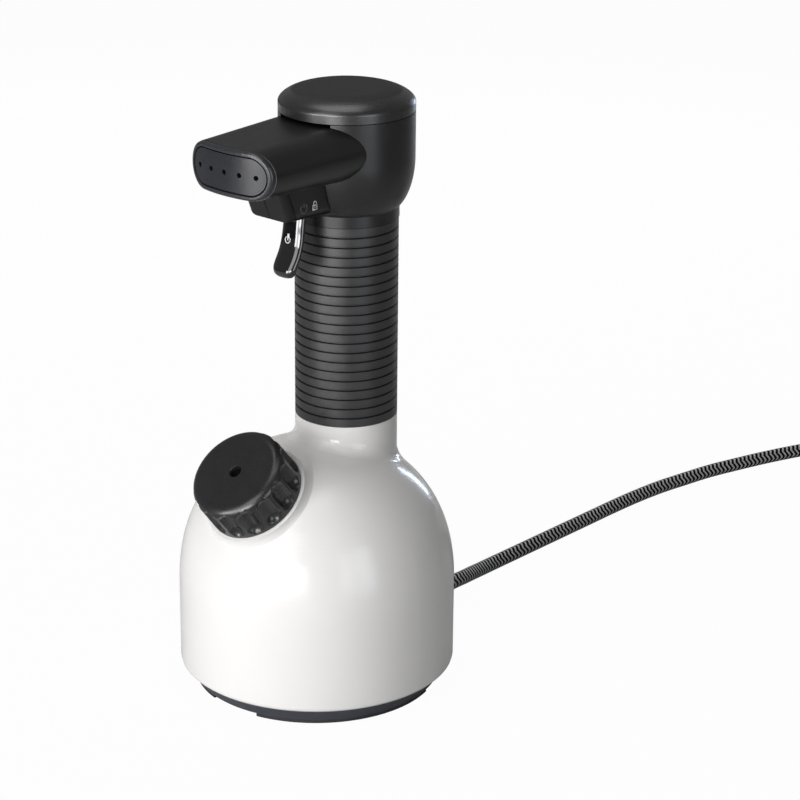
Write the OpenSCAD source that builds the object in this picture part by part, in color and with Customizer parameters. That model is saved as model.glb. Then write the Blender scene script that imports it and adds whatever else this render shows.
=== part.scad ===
// Handheld garment steamer: a domed boiler housing with a ribbed neck grip,
// a round head with a flat steam nozzle, a trigger and a screw filler cap.
// Origin on the body's axis in the plane of the feet, +Z up, nozzle towards -Y.

/* [Body] */
// Outer diameter of the body
body_d = 125; // [118:1:132]
// Height at which the straight wall turns into the dome
dome_start_z = 46.2; // [40:0.1:52]
// Height of the dome's top
dome_top_z = 112.4; // [106:0.1:120]
// Fullness of the dome's curve, 2 is an ellipse
dome_power = 2.22; // [2:0.01:2.5]
// Wall thickness of the body shell
shell_wall = 2.5; // [2:0.1:3]
// Height of the shell's lower edge
shell_edge_z = 8.6; // [7:0.1:11]
// Rounding of the shell's lower edge
edge_round = 2; // [1:0.1:3]
// Radial thickness of the rim inside the lower edge
rim_t = 4.6; // [4:0.1:6]
// Height of the rim inside the lower edge
rim_h = 3.6; // [3:0.1:6]

/* [Base] */
// Height of the rubber feet
foot_h = 2; // [1.5:0.1:3]
// Radial width of a foot
foot_w = 8; // [6:0.5:9]
// Angle of the gap between two feet
foot_gap = 28; // [24:1:40]
// Diameter of the pad under the base's centre
pad_d = 13; // [10:0.5:14]
// Diameter of the base at its underside
base_bottom_d = 112; // [104:1:116]
// Thickness of the base's floor
base_floor_t = 2.5; // [2:0.1:3]
// Height of the spigot that centres the shell
spigot_h = 4.2; // [3:0.1:6]
// Thickness of the spigot
spigot_t = 2.2; // [1.6:0.1:3]
// Radius of the ring of base screws
screw_ring_r = 51.5; // [50:0.1:52]
// Radius of a screw's shank
screw_r = 1.5; // [1.2:0.1:1.8]
// Radius of a screw's head
screw_head_r = 2.8; // [2.4:0.1:3]
// Length of a base screw's shank
base_screw_len = 17; // [12:1:20]

/* [Boiler] */
// Outer diameter of the boiler
boiler_d = 90; // [82:1:92]
// Height of the boiler's underside
boiler_z = 16; // [15:0.1:20]
// Height of the seam between the boiler's halves
boiler_seam_z = 58; // [50:1:62]
// Height of the boiler's top
boiler_top_z = 92; // [88:0.5:93]
// Wall thickness of the boiler
boiler_wall = 1.5; // [1:0.1:2]
// Rounding of the boiler's lower corner
boiler_round = 6; // [4:0.5:8]
// Width of the seam's lip
lip_w = 2; // [1.5:0.1:2.2]
// Thickness of one lip of the seam
lip_t = 1.2; // [1:0.1:1.6]
// Thickness of the carrier ring
carrier_t = 2; // [1.5:0.1:3]
// Thickness of the insulation jacket
jacket_t = 2.5; // [1.5:0.1:2.6]
// Diameter of the heater plate
heater_d = 76; // [70:1:77]
// Thickness of the heater plate
heater_t = 3.5; // [3:0.1:4]
// Radius of the heating tube's ring
element_ring_r = 30; // [24:1:33]
// Radius of the heating tube
element_r = 3.2; // [2.5:0.1:3.3]

/* [Filler] */
// Distance of the cap's centre from the body's axis
filler_reach = 39.6; // [37:0.1:41]
// Tilt of the cap from upright
filler_tilt = 40.2; // [38:0.1:42]
// Depth of the cap's seat below the dome's surface on its axis
filler_sink = 1.3; // [1:0.1:2]
// Height of the cap
cap_h = 18.8; // [17:0.1:21]
// Diameter of the cap at its base
cap_d = 45.1; // [44:0.1:46]
// Taper of the cap's radius over its height
cap_taper = 0.5; // [0:0.1:1]
// Rounding of the cap's top edge
cap_round = 2.4; // [1.5:0.1:3]
// Number of flutes round the cap
flute_count = 15; // [12:1:16]
// Radius of a flute
flute_r = 5.5; // [5:0.1:6]
// Depth of a flute
flute_depth = 1.8; // [1.2:0.1:1.9]
// Thickness of the cap's skirt under the flutes
skirt_t = 1.4; // [1.2:0.1:1.6]
// Thickness of the cap's top
cap_top_t = 4.2; // [3.5:0.1:4.5]
// Radius of the vent hole in the cap
vent_r = 2.25; // [1.5:0.05:2.5]
// Outer radius of the filler neck
neck_pipe_r = 13; // [12:0.1:13.2]
// Wall of the filler neck
neck_pipe_wall = 3.5; // [3:0.1:4]
// Height of the filler neck above the cap's seat
neck_pipe_h = 8; // [7:0.1:8.4]
// Thickness of the cap's threaded sleeve
sleeve_t = 2.8; // [2:0.1:3]

/* [Grip] */
// Distance of the grip's axis behind the body's axis
grip_y = 19.4; // [17:0.1:22]
// Height of the neck above the dome's top
neck_rise = 9.8; // [9:0.1:14]
// Radius of the blend between neck and dome
neck_blend = 6; // [4:0.5:7]
// Diameter of the grip
grip_d = 46; // [44:0.5:47]
// Length of the grip
grip_len = 91.9; // [85:0.1:100]
// Number of ribs along the grip
rib_count = 21; // [15:1:25]
// Depth of the groove between two ribs
groove_depth = 0.75; // [0.5:0.05:1.2]
// Width of the groove between two ribs
groove_w = 1.1; // [0.8:0.1:1.6]
// Outer diameter of the tube inside the grip
tube_d = 40.8; // [40:0.1:41.4]
// Wall of the tube inside the grip
tube_wall = 2.8; // [2:0.1:3]
// Depth of the tube in the neck and in the head
tube_seat_depth = 10; // [8:0.1:12]
// Thickness of the head's floor over the tube
ledge_t = 2.5; // [2:0.1:3]

/* [Head] */
// Diameter of the head
head_d = 60; // [58:0.5:62]
// Height of the head from the grip to the lid's seam
head_h = 47.6; // [46:0.1:50]
// Height of the collar below the head's curve
collar_h = 4.9; // [4:0.1:6]
// Height of the curve from the collar to the straight wall
head_curve_h = 22; // [18:0.5:23]
// Wall thickness of the head
head_wall = 2.2; // [1.8:0.1:2.6]
// Height of the lid
lid_h = 9.8; // [8:0.1:12]
// Radial reach of the lid's rounding
lid_round_r = 12.8; // [8:0.1:16]
// Height of the lid's rounding
lid_round_h = 6.3; // [4:0.1:7]
// Height of the lid's skirt inside the head
lid_skirt_h = 4; // [3:0.1:6]

/* [Nozzle] */
// Depth of the nozzle's centre below the lid's seam
nozzle_drop = 13.6; // [13.4:0.1:14]
// Reach of the nozzle's face from the grip's axis
nozzle_reach = 75.7; // [70:0.1:82]
// Height of the nozzle at its face
nozzle_front_h = 20.8; // [19:0.1:22]
// Height of the nozzle at its inner end
nozzle_back_h = 25.4; // [24.6:0.1:25.6]
// Width of the nozzle's flat top
nozzle_flat = 26.2; // [25:0.1:26.6]
// Radius of the face's curve seen from above
face_curve_r = 61; // [50:1:90]
// Wall thickness of the nozzle
nozzle_wall = 2.2; // [1.8:0.1:2.4]
// Depth of the rim at the nozzle's face
rim_depth = 2.2; // [1.6:0.1:3]
// Width of the rim at the nozzle's face
rim_w = 2.1; // [1.8:0.1:2.4]
// Width of the groove between rim and steam plate
plate_gap = 0.5; // [0.3:0.05:0.7]
// Thickness of the steam plate
plate_t = 3; // [2:0.1:4]
// Number of steam holes
hole_count = 5; // [3:2:5]
// Spacing of the steam holes
hole_pitch = 8.15; // [7:0.05:8.5]
// Diameter of a steam hole
hole_d = 2.2; // [1.6:0.1:2.6]
// Outer radius of the steam tube
steam_tube_r = 3; // [2.5:0.1:3.2]
// Wall of the steam tube
steam_tube_wall = 0.8; // [0.5:0.1:1]

/* [Control pod] */
// Width of the pod
pod_w = 25; // [24:0.1:26]
// Depth of the pod's front lower edge below the nozzle's centre
pod_drop = 26.1; // [25.6:0.1:26.6]
// Reach of the pod's front lower edge from the grip's axis
pod_reach = 48; // [47:0.1:49]
// Forward lean of the pod's front
pod_lean = 22; // [20:1:24]
// Rise of the pod's underside towards the front
pod_rise_angle = 4; // [2:0.5:5]
// Rounding of the pod's front corners
pod_round = 3; // [2.6:0.1:3.4]
// Rounding of the pod's lower side edges
pod_edge = 4.8; // [4:0.1:5.2]
// Wall thickness of the pod
pod_wall = 1.6; // [1.4:0.1:1.8]
// Distance of the side button's edge behind the pod's front
button_set = 3.8; // [3.4:0.1:4.2]
// Thickness of the button's skin
button_t = 1.4; // [1.2:0.1:1.6]

/* [Trigger] */
// Width of the trigger
trigger_w = 12.2; // [11:0.1:12.6]
// Height of the trigger's pivot above the pod's front lower edge
pivot_rise = 4.9; // [4.7:0.1:5.1]
// Reach of the trigger's pivot from the grip's axis
pivot_reach = 34; // [33.5:0.1:34.5]
// Radius of the trigger's pin
pin_r = 1.5; // [1.2:0.05:1.6]
// Radius of the trigger's hub
hub_r = 3.1; // [2.8:0.1:3.2]
// Distance from the pivot to the microswitch's plunger
switch_arm = 6.5; // [6:0.1:7]

/* [Cord] */
// Diameter of the mains cord
cord_d = 7; // [6:0.1:8]
// Height of the cord's exit above the feet
cord_exit_z = 11.3; // [11:0.1:12.5]
// Length of the strain relief outside the shell
relief_len = 24; // [20:1:30]
// Radius of the middle of the coil's turns
coil_mid_r = 42; // [40:0.5:44]
// Number of turns side by side on the floor
coil_turns = 4; // [4:1:4]
// Width of the plug's body
plug_w = 26; // [24:0.5:28]
// Height of the plug's body
plug_h = 17; // [16:0.5:20]
// Length of the plug's body
plug_len = 34; // [30:1:38]
// Length of the plug's blades
blade_len = 17; // [15:0.5:18]

/* [Hidden] */
$fn = 96;

// Clearances
gap = 0.3;        // between pieces that stay apart
seat = 0.1;       // round a piece that sits in its place
fit = 0.05;       // radial running clearance of a pin
press = 0.02;     // radial clearance of a pin that is held fast
over = 1;         // length by which a cut runs past a face
embed = 1.2;      // depth by which a blend reaches into its walls
feather = 0.05;   // depth by which the edge of a blend lies under a surface

// Colours
white = "whitesmoke";
slate = "dimgray";
charcoal = [0.13, 0.13, 0.14];
black = [0.07, 0.07, 0.08];
steel = "silver";
brass = "goldenrod";
rubber = [0.2, 0.2, 0.2];

// Body
body_r = body_d / 2;
dome_h = dome_top_z - dome_start_z;
dome_steps = 40;
rim_r = body_r - rim_t;

// Base
base_bottom_r = base_bottom_d / 2;
base_top_r = body_r - edge_round - 0.5;
floor_z = foot_h + base_floor_t;
spigot_r = rim_r - gap;
foot_inset = 0.5;
foot_edge = 0.4;
feet_turns = [-90, 30, 150];
post_turns = [60, 150, 210, 300];
well_r = 4;
well_top_z = 10.6;
well_shoulder = 3.2;
boss_r = 3.5;
boss_top_z = 40;
boss_rib_t = 2;
boss_rib_z = shell_edge_z + spigot_h + 2 * gap;
post_r = 3.2;
pilot_depth = 14;
screw_head_h = 2;
recess_w = 0.9;
vent_count = 8;
vent_inner_r = 8;
vent_len = 12;
vent_half_w = 1.5;

// Boiler
boiler_r = boiler_d / 2;
carrier_z = boiler_seam_z - lip_t;
carrier_r = boiler_r + 3.4;
ear_r = 4;
jacket_r = boiler_r + gap;
heater_z = boiler_z - heater_t;
element_open = 20;
element_pin_r = 1.2;
element_pin_len = 6;
thermostat_r = 8;
thermostat_h = 5.5;
fuse_r = 2;
fuse_len = 12;
fuse_y = 18;
port_r = 4;

// Filler
filler_z = dome_height(filler_reach) - filler_sink;
cap_r = cap_d / 2;
cap_flat_r = cap_r - cap_taper - cap_round;
skirt_r = cap_r - flute_depth - skirt_t;
cap_roof = cap_h - cap_top_t;
sleeve_r = neck_pipe_r + 0.4;
sleeve_foot = 1.5;
flute_lip = 1.4;
flute_phase = 9.8;
neck_bore_r = neck_pipe_r - neck_pipe_wall;
neck_hole_r = neck_pipe_r + 2;
neck_depth = 24;
gasket_h = 3;
gasket_drop = 3.8;
boss_rim = 1.5;
boss_flare = 5;
boss_flare_h = 7.6;
boss_depth = 10;
seal_h = 1.2;
plug_disc_h = 2;
plug_disc_r = neck_pipe_r - 0.6;
plug_nose = 5;
stem_top = cap_roof + 2;
spring_ring_r = 7;
spring_wire_r = 0.45;
spring_turns = 2;

// Grip
grip_r = grip_d / 2;
grip_z = dome_top_z + neck_rise;
grip_top_z = grip_z + grip_len;
rib_pitch = grip_len / rib_count;
groove_floor = 0.3;
tube_r = tube_d / 2;
tube_bore_r = tube_r - tube_wall;
tube_bottom_z = grip_z - tube_seat_depth;
tube_top_z = grip_top_z + tube_seat_depth;
neck_root_z = dome_height(grip_y + grip_r) - shell_wall;
blend_sides = 72;
blend_steps = 8;

// Head
head_r = head_d / 2;
collar_r = grip_r + 0.3;
head_curve_z = grip_top_z + collar_h + head_curve_h;
seam_z = grip_top_z + head_h;
head_floor_z = tube_top_z + ledge_t;
head_curve_rx = 11.3;
head_curve_rz = 24;
head_steps = 16;
lid_power = 1.73;
lid_seam = 0.3;
lid_t = 2.5;
lid_skirt_t = 1.8;
slot_half_w = nozzle_flat / 2 + 1.5;

// Nozzle
nozzle_z = seam_z - nozzle_drop;
nozzle_start = 8;
nozzle_half_flat = nozzle_flat / 2;
face_axis = nozzle_reach - face_curve_r;
rim_outer_r = nozzle_front_h / 2;
rim_inner_r = rim_outer_r - rim_w;
plate_r = rim_inner_r - plate_gap;
plate_recess = 0.4;
rim_round = 1.1;
rim_lip_round = 0.4;
rim_sides = 24;
flat_sides = 8;
distributor_r = plate_r - 1.6;
distributor_wall = 1.6;
distributor_len = 18;
distributor_hub_r = 5;
distributor_hub_len = 4;
elbow_r = 8;
steam_bore_r = steam_tube_r - steam_tube_wall;

// Valve in the neck
valve_stub_r = 5;
valve_block_w = 20;
valve_block_h = 9;
valve_block_z = boiler_top_z + 2;
coil_r = 11;
coil_h = 20;
coil_z = valve_block_z + valve_block_h;
core_r = 4;
valve_top_z = coil_z + coil_h + 3;

// Pod
pod_half_w = pod_w / 2;
pod_start = 16;
pod_panel_groove = 0.35;
button_inner_x = 7;
pod_top_gap = 0.1;
inner_wall_x = trigger_w / 2 + 0.95;
inner_wall_t = 1.2;
window_half_w = inner_wall_x - 0.2;
button_pin_x = 9.8;
button_pin_reach = 41;
button_pin_r = 0.8;
knuckle_r = 1.5;
knuckle_h = 7;
button_sill = 1.8;
pin_post_h = 1.3;
button_switch_reach = 30.6;
button_switch_w = 4;
button_switch_t = 1.8;

// Trigger, measured from its pivot: x towards the nozzle, y up
pivot_z = nozzle_z - pod_drop + pivot_rise;
blade_front = [[0.2, -4.9], [1.2, -8], [1.7, -12], [2.2, -16.5], [3.1, -20.5], [4.7, -24], [7, -27.6]];
blade_lip_r = 2.9;
blade_lip = [4.9, -29.9];
blade_back = [[2.6, -28.2], [0.7, -24.6], [-1.6, -19], [-2.9, -13], [-3.9, -7], [-3, -1]];
blade_tip_z = 32.8;
arm_half_w = 2.4;
arm_top = 1.3;
arm_t = 2.4;
plunger_r = 1;
plunger_len = 3.2;
plunger_depth = 4.6;
switch_w = 11.4;
switch_len = 5.8;
switch_drop = 2.2;
torsion_ring_r = 2.35;
torsion_wire_r = 0.35;
torsion_turns = 3;
hub_half_w = 3;

// Board and cable in the head and grip
board_t = 1.6;
board_z = head_floor_z + 2;
board_r = 23;
board_hole_r = 7;
standoff_r = 2;
standoff_x = 15;
standoff_y = 9;
cable_r = 2;

// Mains inlet
cord_r = cord_d / 2;
relief_base_r = cord_r + 2;
relief_tip_r = cord_r + 0.8;
relief_neck_r = cord_r + 1.1;
relief_flange_t = 3;
relief_grooves = 4;
relief_start = body_r + seat;
clamp_w = 12;
clamp_len = 6;
clamp_y = body_r - 16.5;
lead_end_y = clamp_y - 2;
block_x = -13;
block_y = clamp_y - 4;
block_size = [14, 7, 8];

// Cord route on the floor, from the strain relief to the coil
cord_floor_z = cord_r;
cord_route = [
  [0, 86.6, 11.3], [0, 93, 11.3], [-1, 101, 10.6], [-3, 109, 9.1], [-5.5, 117, 7.4],
  [-8, 126, 5.6], [-10, 136, 4.2], [-11, 148, 3.5], [-11, 165, 3.5],
  [-11, 184, 3.5], [-11, 203, 3.5], [-11, 222, 3.5], [-11, 241, 3.5],
  [-10.5, 260, 3.5], [-9, 279, 3.5], [-6, 298, 3.5], [-2.5, 317, 3.5],
  [2.5, 335, 3.5], [8, 353, 3.5], [14.5, 371, 3.5], [22, 388.5, 3.5],
  [30.5, 405, 3.5], [39.5, 420, 3.5]
];
// End of the cord, from the top of the coil to the plug
cord_tail = [[133, 384, 9.6], [133, 374, 9.2], [133, 365, 8.5], [133, 357, 8.5]];
coil_at = [84, 392];
cord_sides = 10;

// Coil, tie and plug
coil_inner_r = coil_mid_r - coil_turns * cord_r;
coil_outer_r = coil_mid_r + coil_turns * cord_r;
coil_top_z = cord_d + cord_d * sin(60);
tie_turn = 250;
tie_w = 12;
tie_t = 1.2;
plug_at = [133, 357];
plug_axis_z = plug_h / 2;
boot_len = 20;
boot_r = 6;
plug_corner = 5;
plug_waist = 13;
blade_t = 1.5;
blade_h = 6.35;
blade_pitch = 12.7;
blade_hole_r = 1.5;
blade_hole_at = 5;

// Height of the dome's surface at a distance from the body's axis
function dome_height(r) =
  dome_start_z + dome_h * pow(1 - pow(r / body_r, dome_power), 1 / dome_power);

// Curve from the side of a rounding to its top
function round_over(x, y, rx, ry, power, steps) = [
  for (i = [0:steps])
    let (a = 90 * i / steps)
    [x + rx * pow(cos(a), 2 / power), y + ry * pow(sin(a), 2 / power)]
];

// Point on a curve that leaves a towards b and arrives at c
function bend(a, b, c, t) = (1 - t) * (1 - t) * a + 2 * t * (1 - t) * b + t * t * c;

// Half height of the nozzle at a distance from the grip's axis
function nozzle_half(reach) =
  (nozzle_back_h + (nozzle_front_h - nozzle_back_h)
    * (reach - nozzle_start) / (nozzle_reach - nozzle_start)) / 2;

// Quads that close a grid of rings round a loop, as triangles
function ring_faces(rings, sides) = [
  for (i = [0:rings - 1], j = [0:sides - 1])
    let (
      a = i * sides + j,
      b = i * sides + (j + 1) % sides,
      c = ((i + 1) % rings) * sides + (j + 1) % sides,
      d = ((i + 1) % rings) * sides + j
    )
    each [[a, b, c], [a, c, d]]
];

// A round bar along a list of points
module swept_bar(path, r, sides) {
  last = len(path) - 1;
  points = [
    for (i = [0:last])
      let (
        run = path[min(i + 1, last)] - path[max(i - 1, 0)],
        along = run / norm(run),
        side = cross(along, [0, 0, 1]) / norm(cross(along, [0, 0, 1])),
        rise = cross(side, along)
      )
      for (j = [0:sides - 1])
        path[i] + r * (cos(360 * j / sides) * side + sin(360 * j / sides) * rise)
  ];
  walls = [
    for (i = [0:last - 1], j = [0:sides - 1])
      let (a = i * sides + j, b = i * sides + (j + 1) % sides)
      each [[a, b, b + sides], [a, b + sides, a + sides]]
  ];
  start = [[for (j = [sides - 1:-1:0]) j]];
  end = [[for (j = [0:sides - 1]) last * sides + j]];
  polyhedron(points, concat(walls, start, end));
}

// A profile drawn in side view, x towards the grip and y up, given a width along X
module side_extrude(w) {
  rotate([90, 0, 90]) linear_extrude(w, center = true) children();
}

// The grip's axis, with x of a side view towards the nozzle
module at_grip(z = 0) {
  translate([0, grip_y, z]) children();
}

// The seat of the filler cap, with +Z out of the body
module at_filler() {
  translate([0, -filler_reach, filler_z]) rotate([filler_tilt, 0, 0]) children();
}

// Places on a ring round the body's axis, counted from the nozzle's side
module on_ring(turns, r) {
  for (a = turns)
    rotate([0, 0, a - 90]) translate([r, 0, 0]) children();
}

module shell_outside() {
  rotate_extrude() polygon(concat(
    [[0, shell_edge_z]],
    [for (a = [-90:30:0]) [
      body_r - edge_round + edge_round * cos(a),
      shell_edge_z + edge_round + edge_round * sin(a)
    ]],
    round_over(0, dome_start_z, body_r, dome_h, dome_power, dome_steps)
  ));
}

module shell_inside() {
  wall_r = body_r - shell_wall;
  rotate_extrude() polygon(concat(
    [
      [0, shell_edge_z - over],
      [rim_r, shell_edge_z - over],
      [rim_r, shell_edge_z + rim_h],
      [wall_r, shell_edge_z + rim_h + over]
    ],
    round_over(0, dome_start_z, wall_r, dome_h - shell_wall, dome_power, dome_steps)
  ));
}

// Concave blend that follows the dome round the foot of the neck
module neck_foot_blend() {
  sections = [
    for (k = [0:blend_sides - 1])
      let (
        a = 360 * k / blend_sides,
        foot_r = norm([(grip_r + neck_blend) * cos(a), grip_y + (grip_r + neck_blend) * sin(a)]),
        root_r = norm([grip_r * cos(a), grip_y + grip_r * sin(a)]),
        foot = [grip_r + neck_blend, dome_height(foot_r) - feather],
        root = [grip_r - feather, dome_height(root_r) - feather],
        top = [grip_r - feather, root[1] + neck_blend],
        outline = concat(
          [for (i = [0:blend_steps]) bend(foot, root, top, i / blend_steps)],
          [top - [embed, 0], root - [embed, embed], foot - [0, embed]]
        )
      )
      for (p = outline) [p[0] * cos(a), grip_y + p[0] * sin(a), p[1]]
  ];
  polyhedron(sections, ring_faces(blend_sides, blend_steps + 4));
}

// Flat seat for the cap, with a soft flare down to the dome
module filler_boss() {
  rim = cap_r + boss_rim;
  flare = [
    for (i = [0:8])
      bend([rim, -gap], [rim, -boss_flare_h * 0.6], [rim + boss_flare, -boss_flare_h], i / 8)
  ];
  at_filler() rotate_extrude() polygon(concat(
    [[0, -boss_depth], [0, -gap]],
    flare,
    [[rim + boss_flare, -boss_depth]]
  ));
}

module screw_bosses() {
  on_ring([0, 120, 240], screw_ring_r) {
    translate([0, 0, well_top_z + gap])
      cylinder(r = boss_r, h = boss_top_z - well_top_z - gap);
    translate([0, -boss_rib_t / 2, boss_rib_z])
      cube([body_r - screw_ring_r - shell_wall / 2, boss_rib_t, boss_top_z - boss_rib_z]);
  }
}

module body_shell() {
  color(white) difference() {
    union() {
      difference() {
        union() {
          shell_outside();
          at_grip(neck_root_z) cylinder(r = grip_r, h = grip_z - neck_root_z);
          neck_foot_blend();
          filler_boss();
        }
        shell_inside();
      }
      screw_bosses();
    }
    at_grip(tube_bottom_z) cylinder(r = tube_r + seat, h = tube_seat_depth + over);
    at_grip(neck_root_z - over) cylinder(r = tube_bore_r, h = grip_z - neck_root_z);
    at_filler() translate([0, 0, -boss_depth - 5]) cylinder(r = neck_hole_r, h = boss_depth + 10);
    at_filler() translate([0, 0, -gap]) cylinder(r = cap_r + boss_rim + over, h = cap_h);
    on_ring([0, 120, 240], screw_ring_r)
      translate([0, 0, floor_z]) cylinder(r = screw_r + press, h = base_screw_len + over);
    translate([0, body_r - 2 * shell_wall, cord_exit_z]) rotate([-90, 0, 0]) {
      cylinder(r = relief_neck_r + seat, h = 3 * shell_wall);
      cylinder(r = relief_base_r + gap, h = shell_wall - gap);
    }
  }
}

module base() {
  inner_r = spigot_r - spigot_t;
  color(slate) difference() {
    union() {
      rotate_extrude() polygon([
        [0, foot_h], [base_bottom_r, foot_h], [base_top_r, shell_edge_z],
        [spigot_r, shell_edge_z], [spigot_r, shell_edge_z + spigot_h],
        [inner_r, shell_edge_z + spigot_h], [inner_r, floor_z], [0, floor_z]
      ]);
      on_ring([0, 120, 240], screw_ring_r)
        translate([0, 0, foot_h]) cylinder(r = well_r, h = well_top_z - foot_h);
      on_ring(post_turns, screw_ring_r)
        translate([0, 0, foot_h]) cylinder(r = post_r, h = carrier_z - carrier_t - foot_h);
    }
    on_ring([0, 120, 240], screw_ring_r) {
      translate([0, 0, foot_h - over]) cylinder(r = screw_head_r + gap, h = well_shoulder + over);
      translate([0, 0, foot_h]) cylinder(r = screw_r + gap, h = well_top_z);
    }
    on_ring(post_turns, screw_ring_r)
      translate([0, 0, carrier_z - carrier_t - pilot_depth])
        cylinder(r = screw_r + press, h = pilot_depth + over);
    for (k = [0:vent_count - 1])
      rotate([0, 0, 360 * k / vent_count]) translate([vent_inner_r, 0, foot_h - over])
        linear_extrude(base_floor_t + 2 * over) {
          translate([0, -vent_half_w]) square([vent_len, 2 * vent_half_w]);
          circle(r = vent_half_w, $fn = 24);
          translate([vent_len, 0]) circle(r = vent_half_w, $fn = 24);
        }
    translate([0, 0, cord_exit_z]) rotate([-90, 0, 0]) {
      cylinder(r = relief_neck_r + seat, h = body_r);
      cylinder(r = relief_base_r + gap, h = body_r - shell_wall - gap);
    }
  }
}

module feet() {
  outer = base_bottom_r - foot_inset;
  sweep = 120 - foot_gap;
  color(rubber) {
    for (a = feet_turns)
      rotate([0, 0, a + foot_gap / 2]) rotate_extrude(angle = sweep) polygon([
        [outer - foot_w, foot_h], [outer - foot_w, foot_edge], [outer - foot_w + foot_edge, 0],
        [outer - foot_edge, 0], [outer, foot_edge], [outer, foot_h]
      ]);
    rotate_extrude() polygon([
      [0, 0], [pad_d / 2 - foot_edge, 0], [pad_d / 2, foot_edge], [pad_d / 2, foot_h], [0, foot_h]
    ]);
  }
}

// Countersunk-slot screw with its head's seat at z = 0 and its shank upwards
module screw(len) {
  difference() {
    union() {
      translate([0, 0, -screw_head_h]) cylinder(r = screw_head_r, h = screw_head_h, $fn = 32);
      cylinder(r = screw_r, h = len, $fn = 32);
    }
    for (a = [0, 90])
      rotate([0, 0, a]) translate([-screw_head_r * 0.6, -recess_w / 2, -screw_head_h - over])
        cube([screw_head_r * 1.2, recess_w, 2 * over]);
  }
}

module base_screws() {
  color(steel) on_ring([0, 120, 240], screw_ring_r)
    translate([0, 0, foot_h + well_shoulder]) screw(base_screw_len);
}

module boiler_lower() {
  inner_r = boiler_r - boiler_wall;
  corner = [
    for (a = [-90:15:0]) [
      boiler_r - boiler_round + boiler_round * cos(a),
      boiler_z + boiler_round + boiler_round * sin(a)
    ]
  ];
  inner_corner = [
    for (a = [0:-15:-90]) [
      boiler_r - boiler_round + (boiler_round - boiler_wall) * cos(a),
      boiler_z + boiler_round + (boiler_round - boiler_wall) * sin(a)
    ]
  ];
  color(steel) rotate_extrude() polygon(concat(
    [[0, boiler_z]],
    corner,
    [
      [boiler_r, carrier_z], [boiler_r + lip_w, carrier_z],
      [boiler_r + lip_w, boiler_seam_z], [inner_r, boiler_seam_z]
    ],
    inner_corner,
    [[0, boiler_z + boiler_wall]]
  ));
}

// The boiler's dome as a full solid, made larger or smaller all round
module boiler_dome(grow) {
  rotate_extrude() polygon(concat(
    [[0, boiler_seam_z], [boiler_r + grow, boiler_seam_z]],
    round_over(
      0, boiler_seam_z + lip_t, boiler_r + grow,
      boiler_top_z - boiler_seam_z - lip_t + grow, dome_power, head_steps
    )
  ));
}

module boiler_upper() {
  color(steel) difference() {
    union() {
      boiler_dome(0);
      translate([0, 0, boiler_seam_z]) cylinder(r = boiler_r + lip_w, h = lip_t);
    }
    boiler_dome(-boiler_wall);
    translate([0, 0, boiler_seam_z - over]) cylinder(r = boiler_r - boiler_wall, h = over + lip_t);
    at_filler() translate([0, 0, -neck_depth - 10]) cylinder(r = neck_bore_r, h = neck_depth + 10);
    at_grip(boiler_seam_z + lip_t) cylinder(r = port_r, h = boiler_top_z - boiler_seam_z);
  }
}

module carrier_ring() {
  z = carrier_z - carrier_t;
  color(steel) difference() {
    union() {
      translate([0, 0, z]) cylinder(r = carrier_r, h = carrier_t);
      on_ring(post_turns, screw_ring_r) translate([0, 0, z]) cylinder(r = ear_r, h = carrier_t);
    }
    translate([0, 0, z - over]) cylinder(r = boiler_r + seat, h = carrier_t + 2 * over);
    on_ring(post_turns, screw_ring_r)
      translate([0, 0, z - over]) cylinder(r = screw_r + seat, h = carrier_t + 2 * over);
  }
}

module boiler_screws() {
  color(steel) on_ring(post_turns, screw_ring_r)
    translate([0, 0, carrier_z]) mirror([0, 0, 1]) screw(carrier_t + pilot_depth - over);
}

module insulation_jacket() {
  z = boiler_z + boiler_round + over;
  top = carrier_z - carrier_t - gap;
  color("lightyellow") difference() {
    translate([0, 0, z]) cylinder(r = jacket_r + jacket_t, h = top - z);
    translate([0, 0, z - over]) cylinder(r = jacket_r, h = top - z + 2 * over);
  }
}

module heater_plate() {
  color(steel) difference() {
    translate([0, 0, heater_z]) cylinder(r = heater_d / 2, h = heater_t);
    rotate_extrude() translate([element_ring_r, heater_z]) circle(r = element_r + fit, $fn = 32);
  }
}

module heating_tube() {
  color("gray") {
    rotate([0, 0, 90 + element_open]) rotate_extrude(angle = 360 - 2 * element_open)
      translate([element_ring_r, heater_z]) circle(r = element_r, $fn = 32);
    for (s = [-1, 1])
      rotate([0, 0, 90 + s * (element_open + 4)])
        translate([element_ring_r, 0, heater_z - element_pin_len])
          cylinder(r = element_pin_r, h = element_pin_len, $fn = 24);
  }
}

module thermostat() {
  bottom = heater_z - thermostat_h;
  color("sienna") {
    translate([0, 0, bottom]) cylinder(r = thermostat_r, h = thermostat_h);
    for (s = [-1, 1])
      translate([s * thermostat_r * 0.6 - 0.4, -2.4, bottom - 2]) cube([0.8, 4.8, 2]);
  }
}

module thermal_fuse() {
  z = heater_z - fuse_r - 0.2;
  color("ivory") translate([0, fuse_y, z]) rotate([0, 90, 0]) {
    cylinder(r = fuse_r, h = fuse_len, center = true, $fn = 32);
    cylinder(r = 0.5, h = fuse_len + 12, center = true, $fn = 24);
  }
}

module filler_neck() {
  color(brass) difference() {
    at_filler() translate([0, 0, -neck_depth]) cylinder(r = neck_pipe_r, h = neck_depth + neck_pipe_h);
    at_filler() translate([0, 0, -neck_depth - over])
      cylinder(r = neck_bore_r, h = neck_depth + neck_pipe_h + 2 * over);
    boiler_dome(seat);
  }
}

module filler_gasket() {
  color(rubber) at_filler() translate([0, 0, -gasket_drop]) difference() {
    cylinder(r = neck_hole_r - seat, h = gasket_h);
    translate([0, 0, -over]) cylinder(r = neck_pipe_r + seat, h = gasket_h + 2 * over);
  }
}

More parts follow.
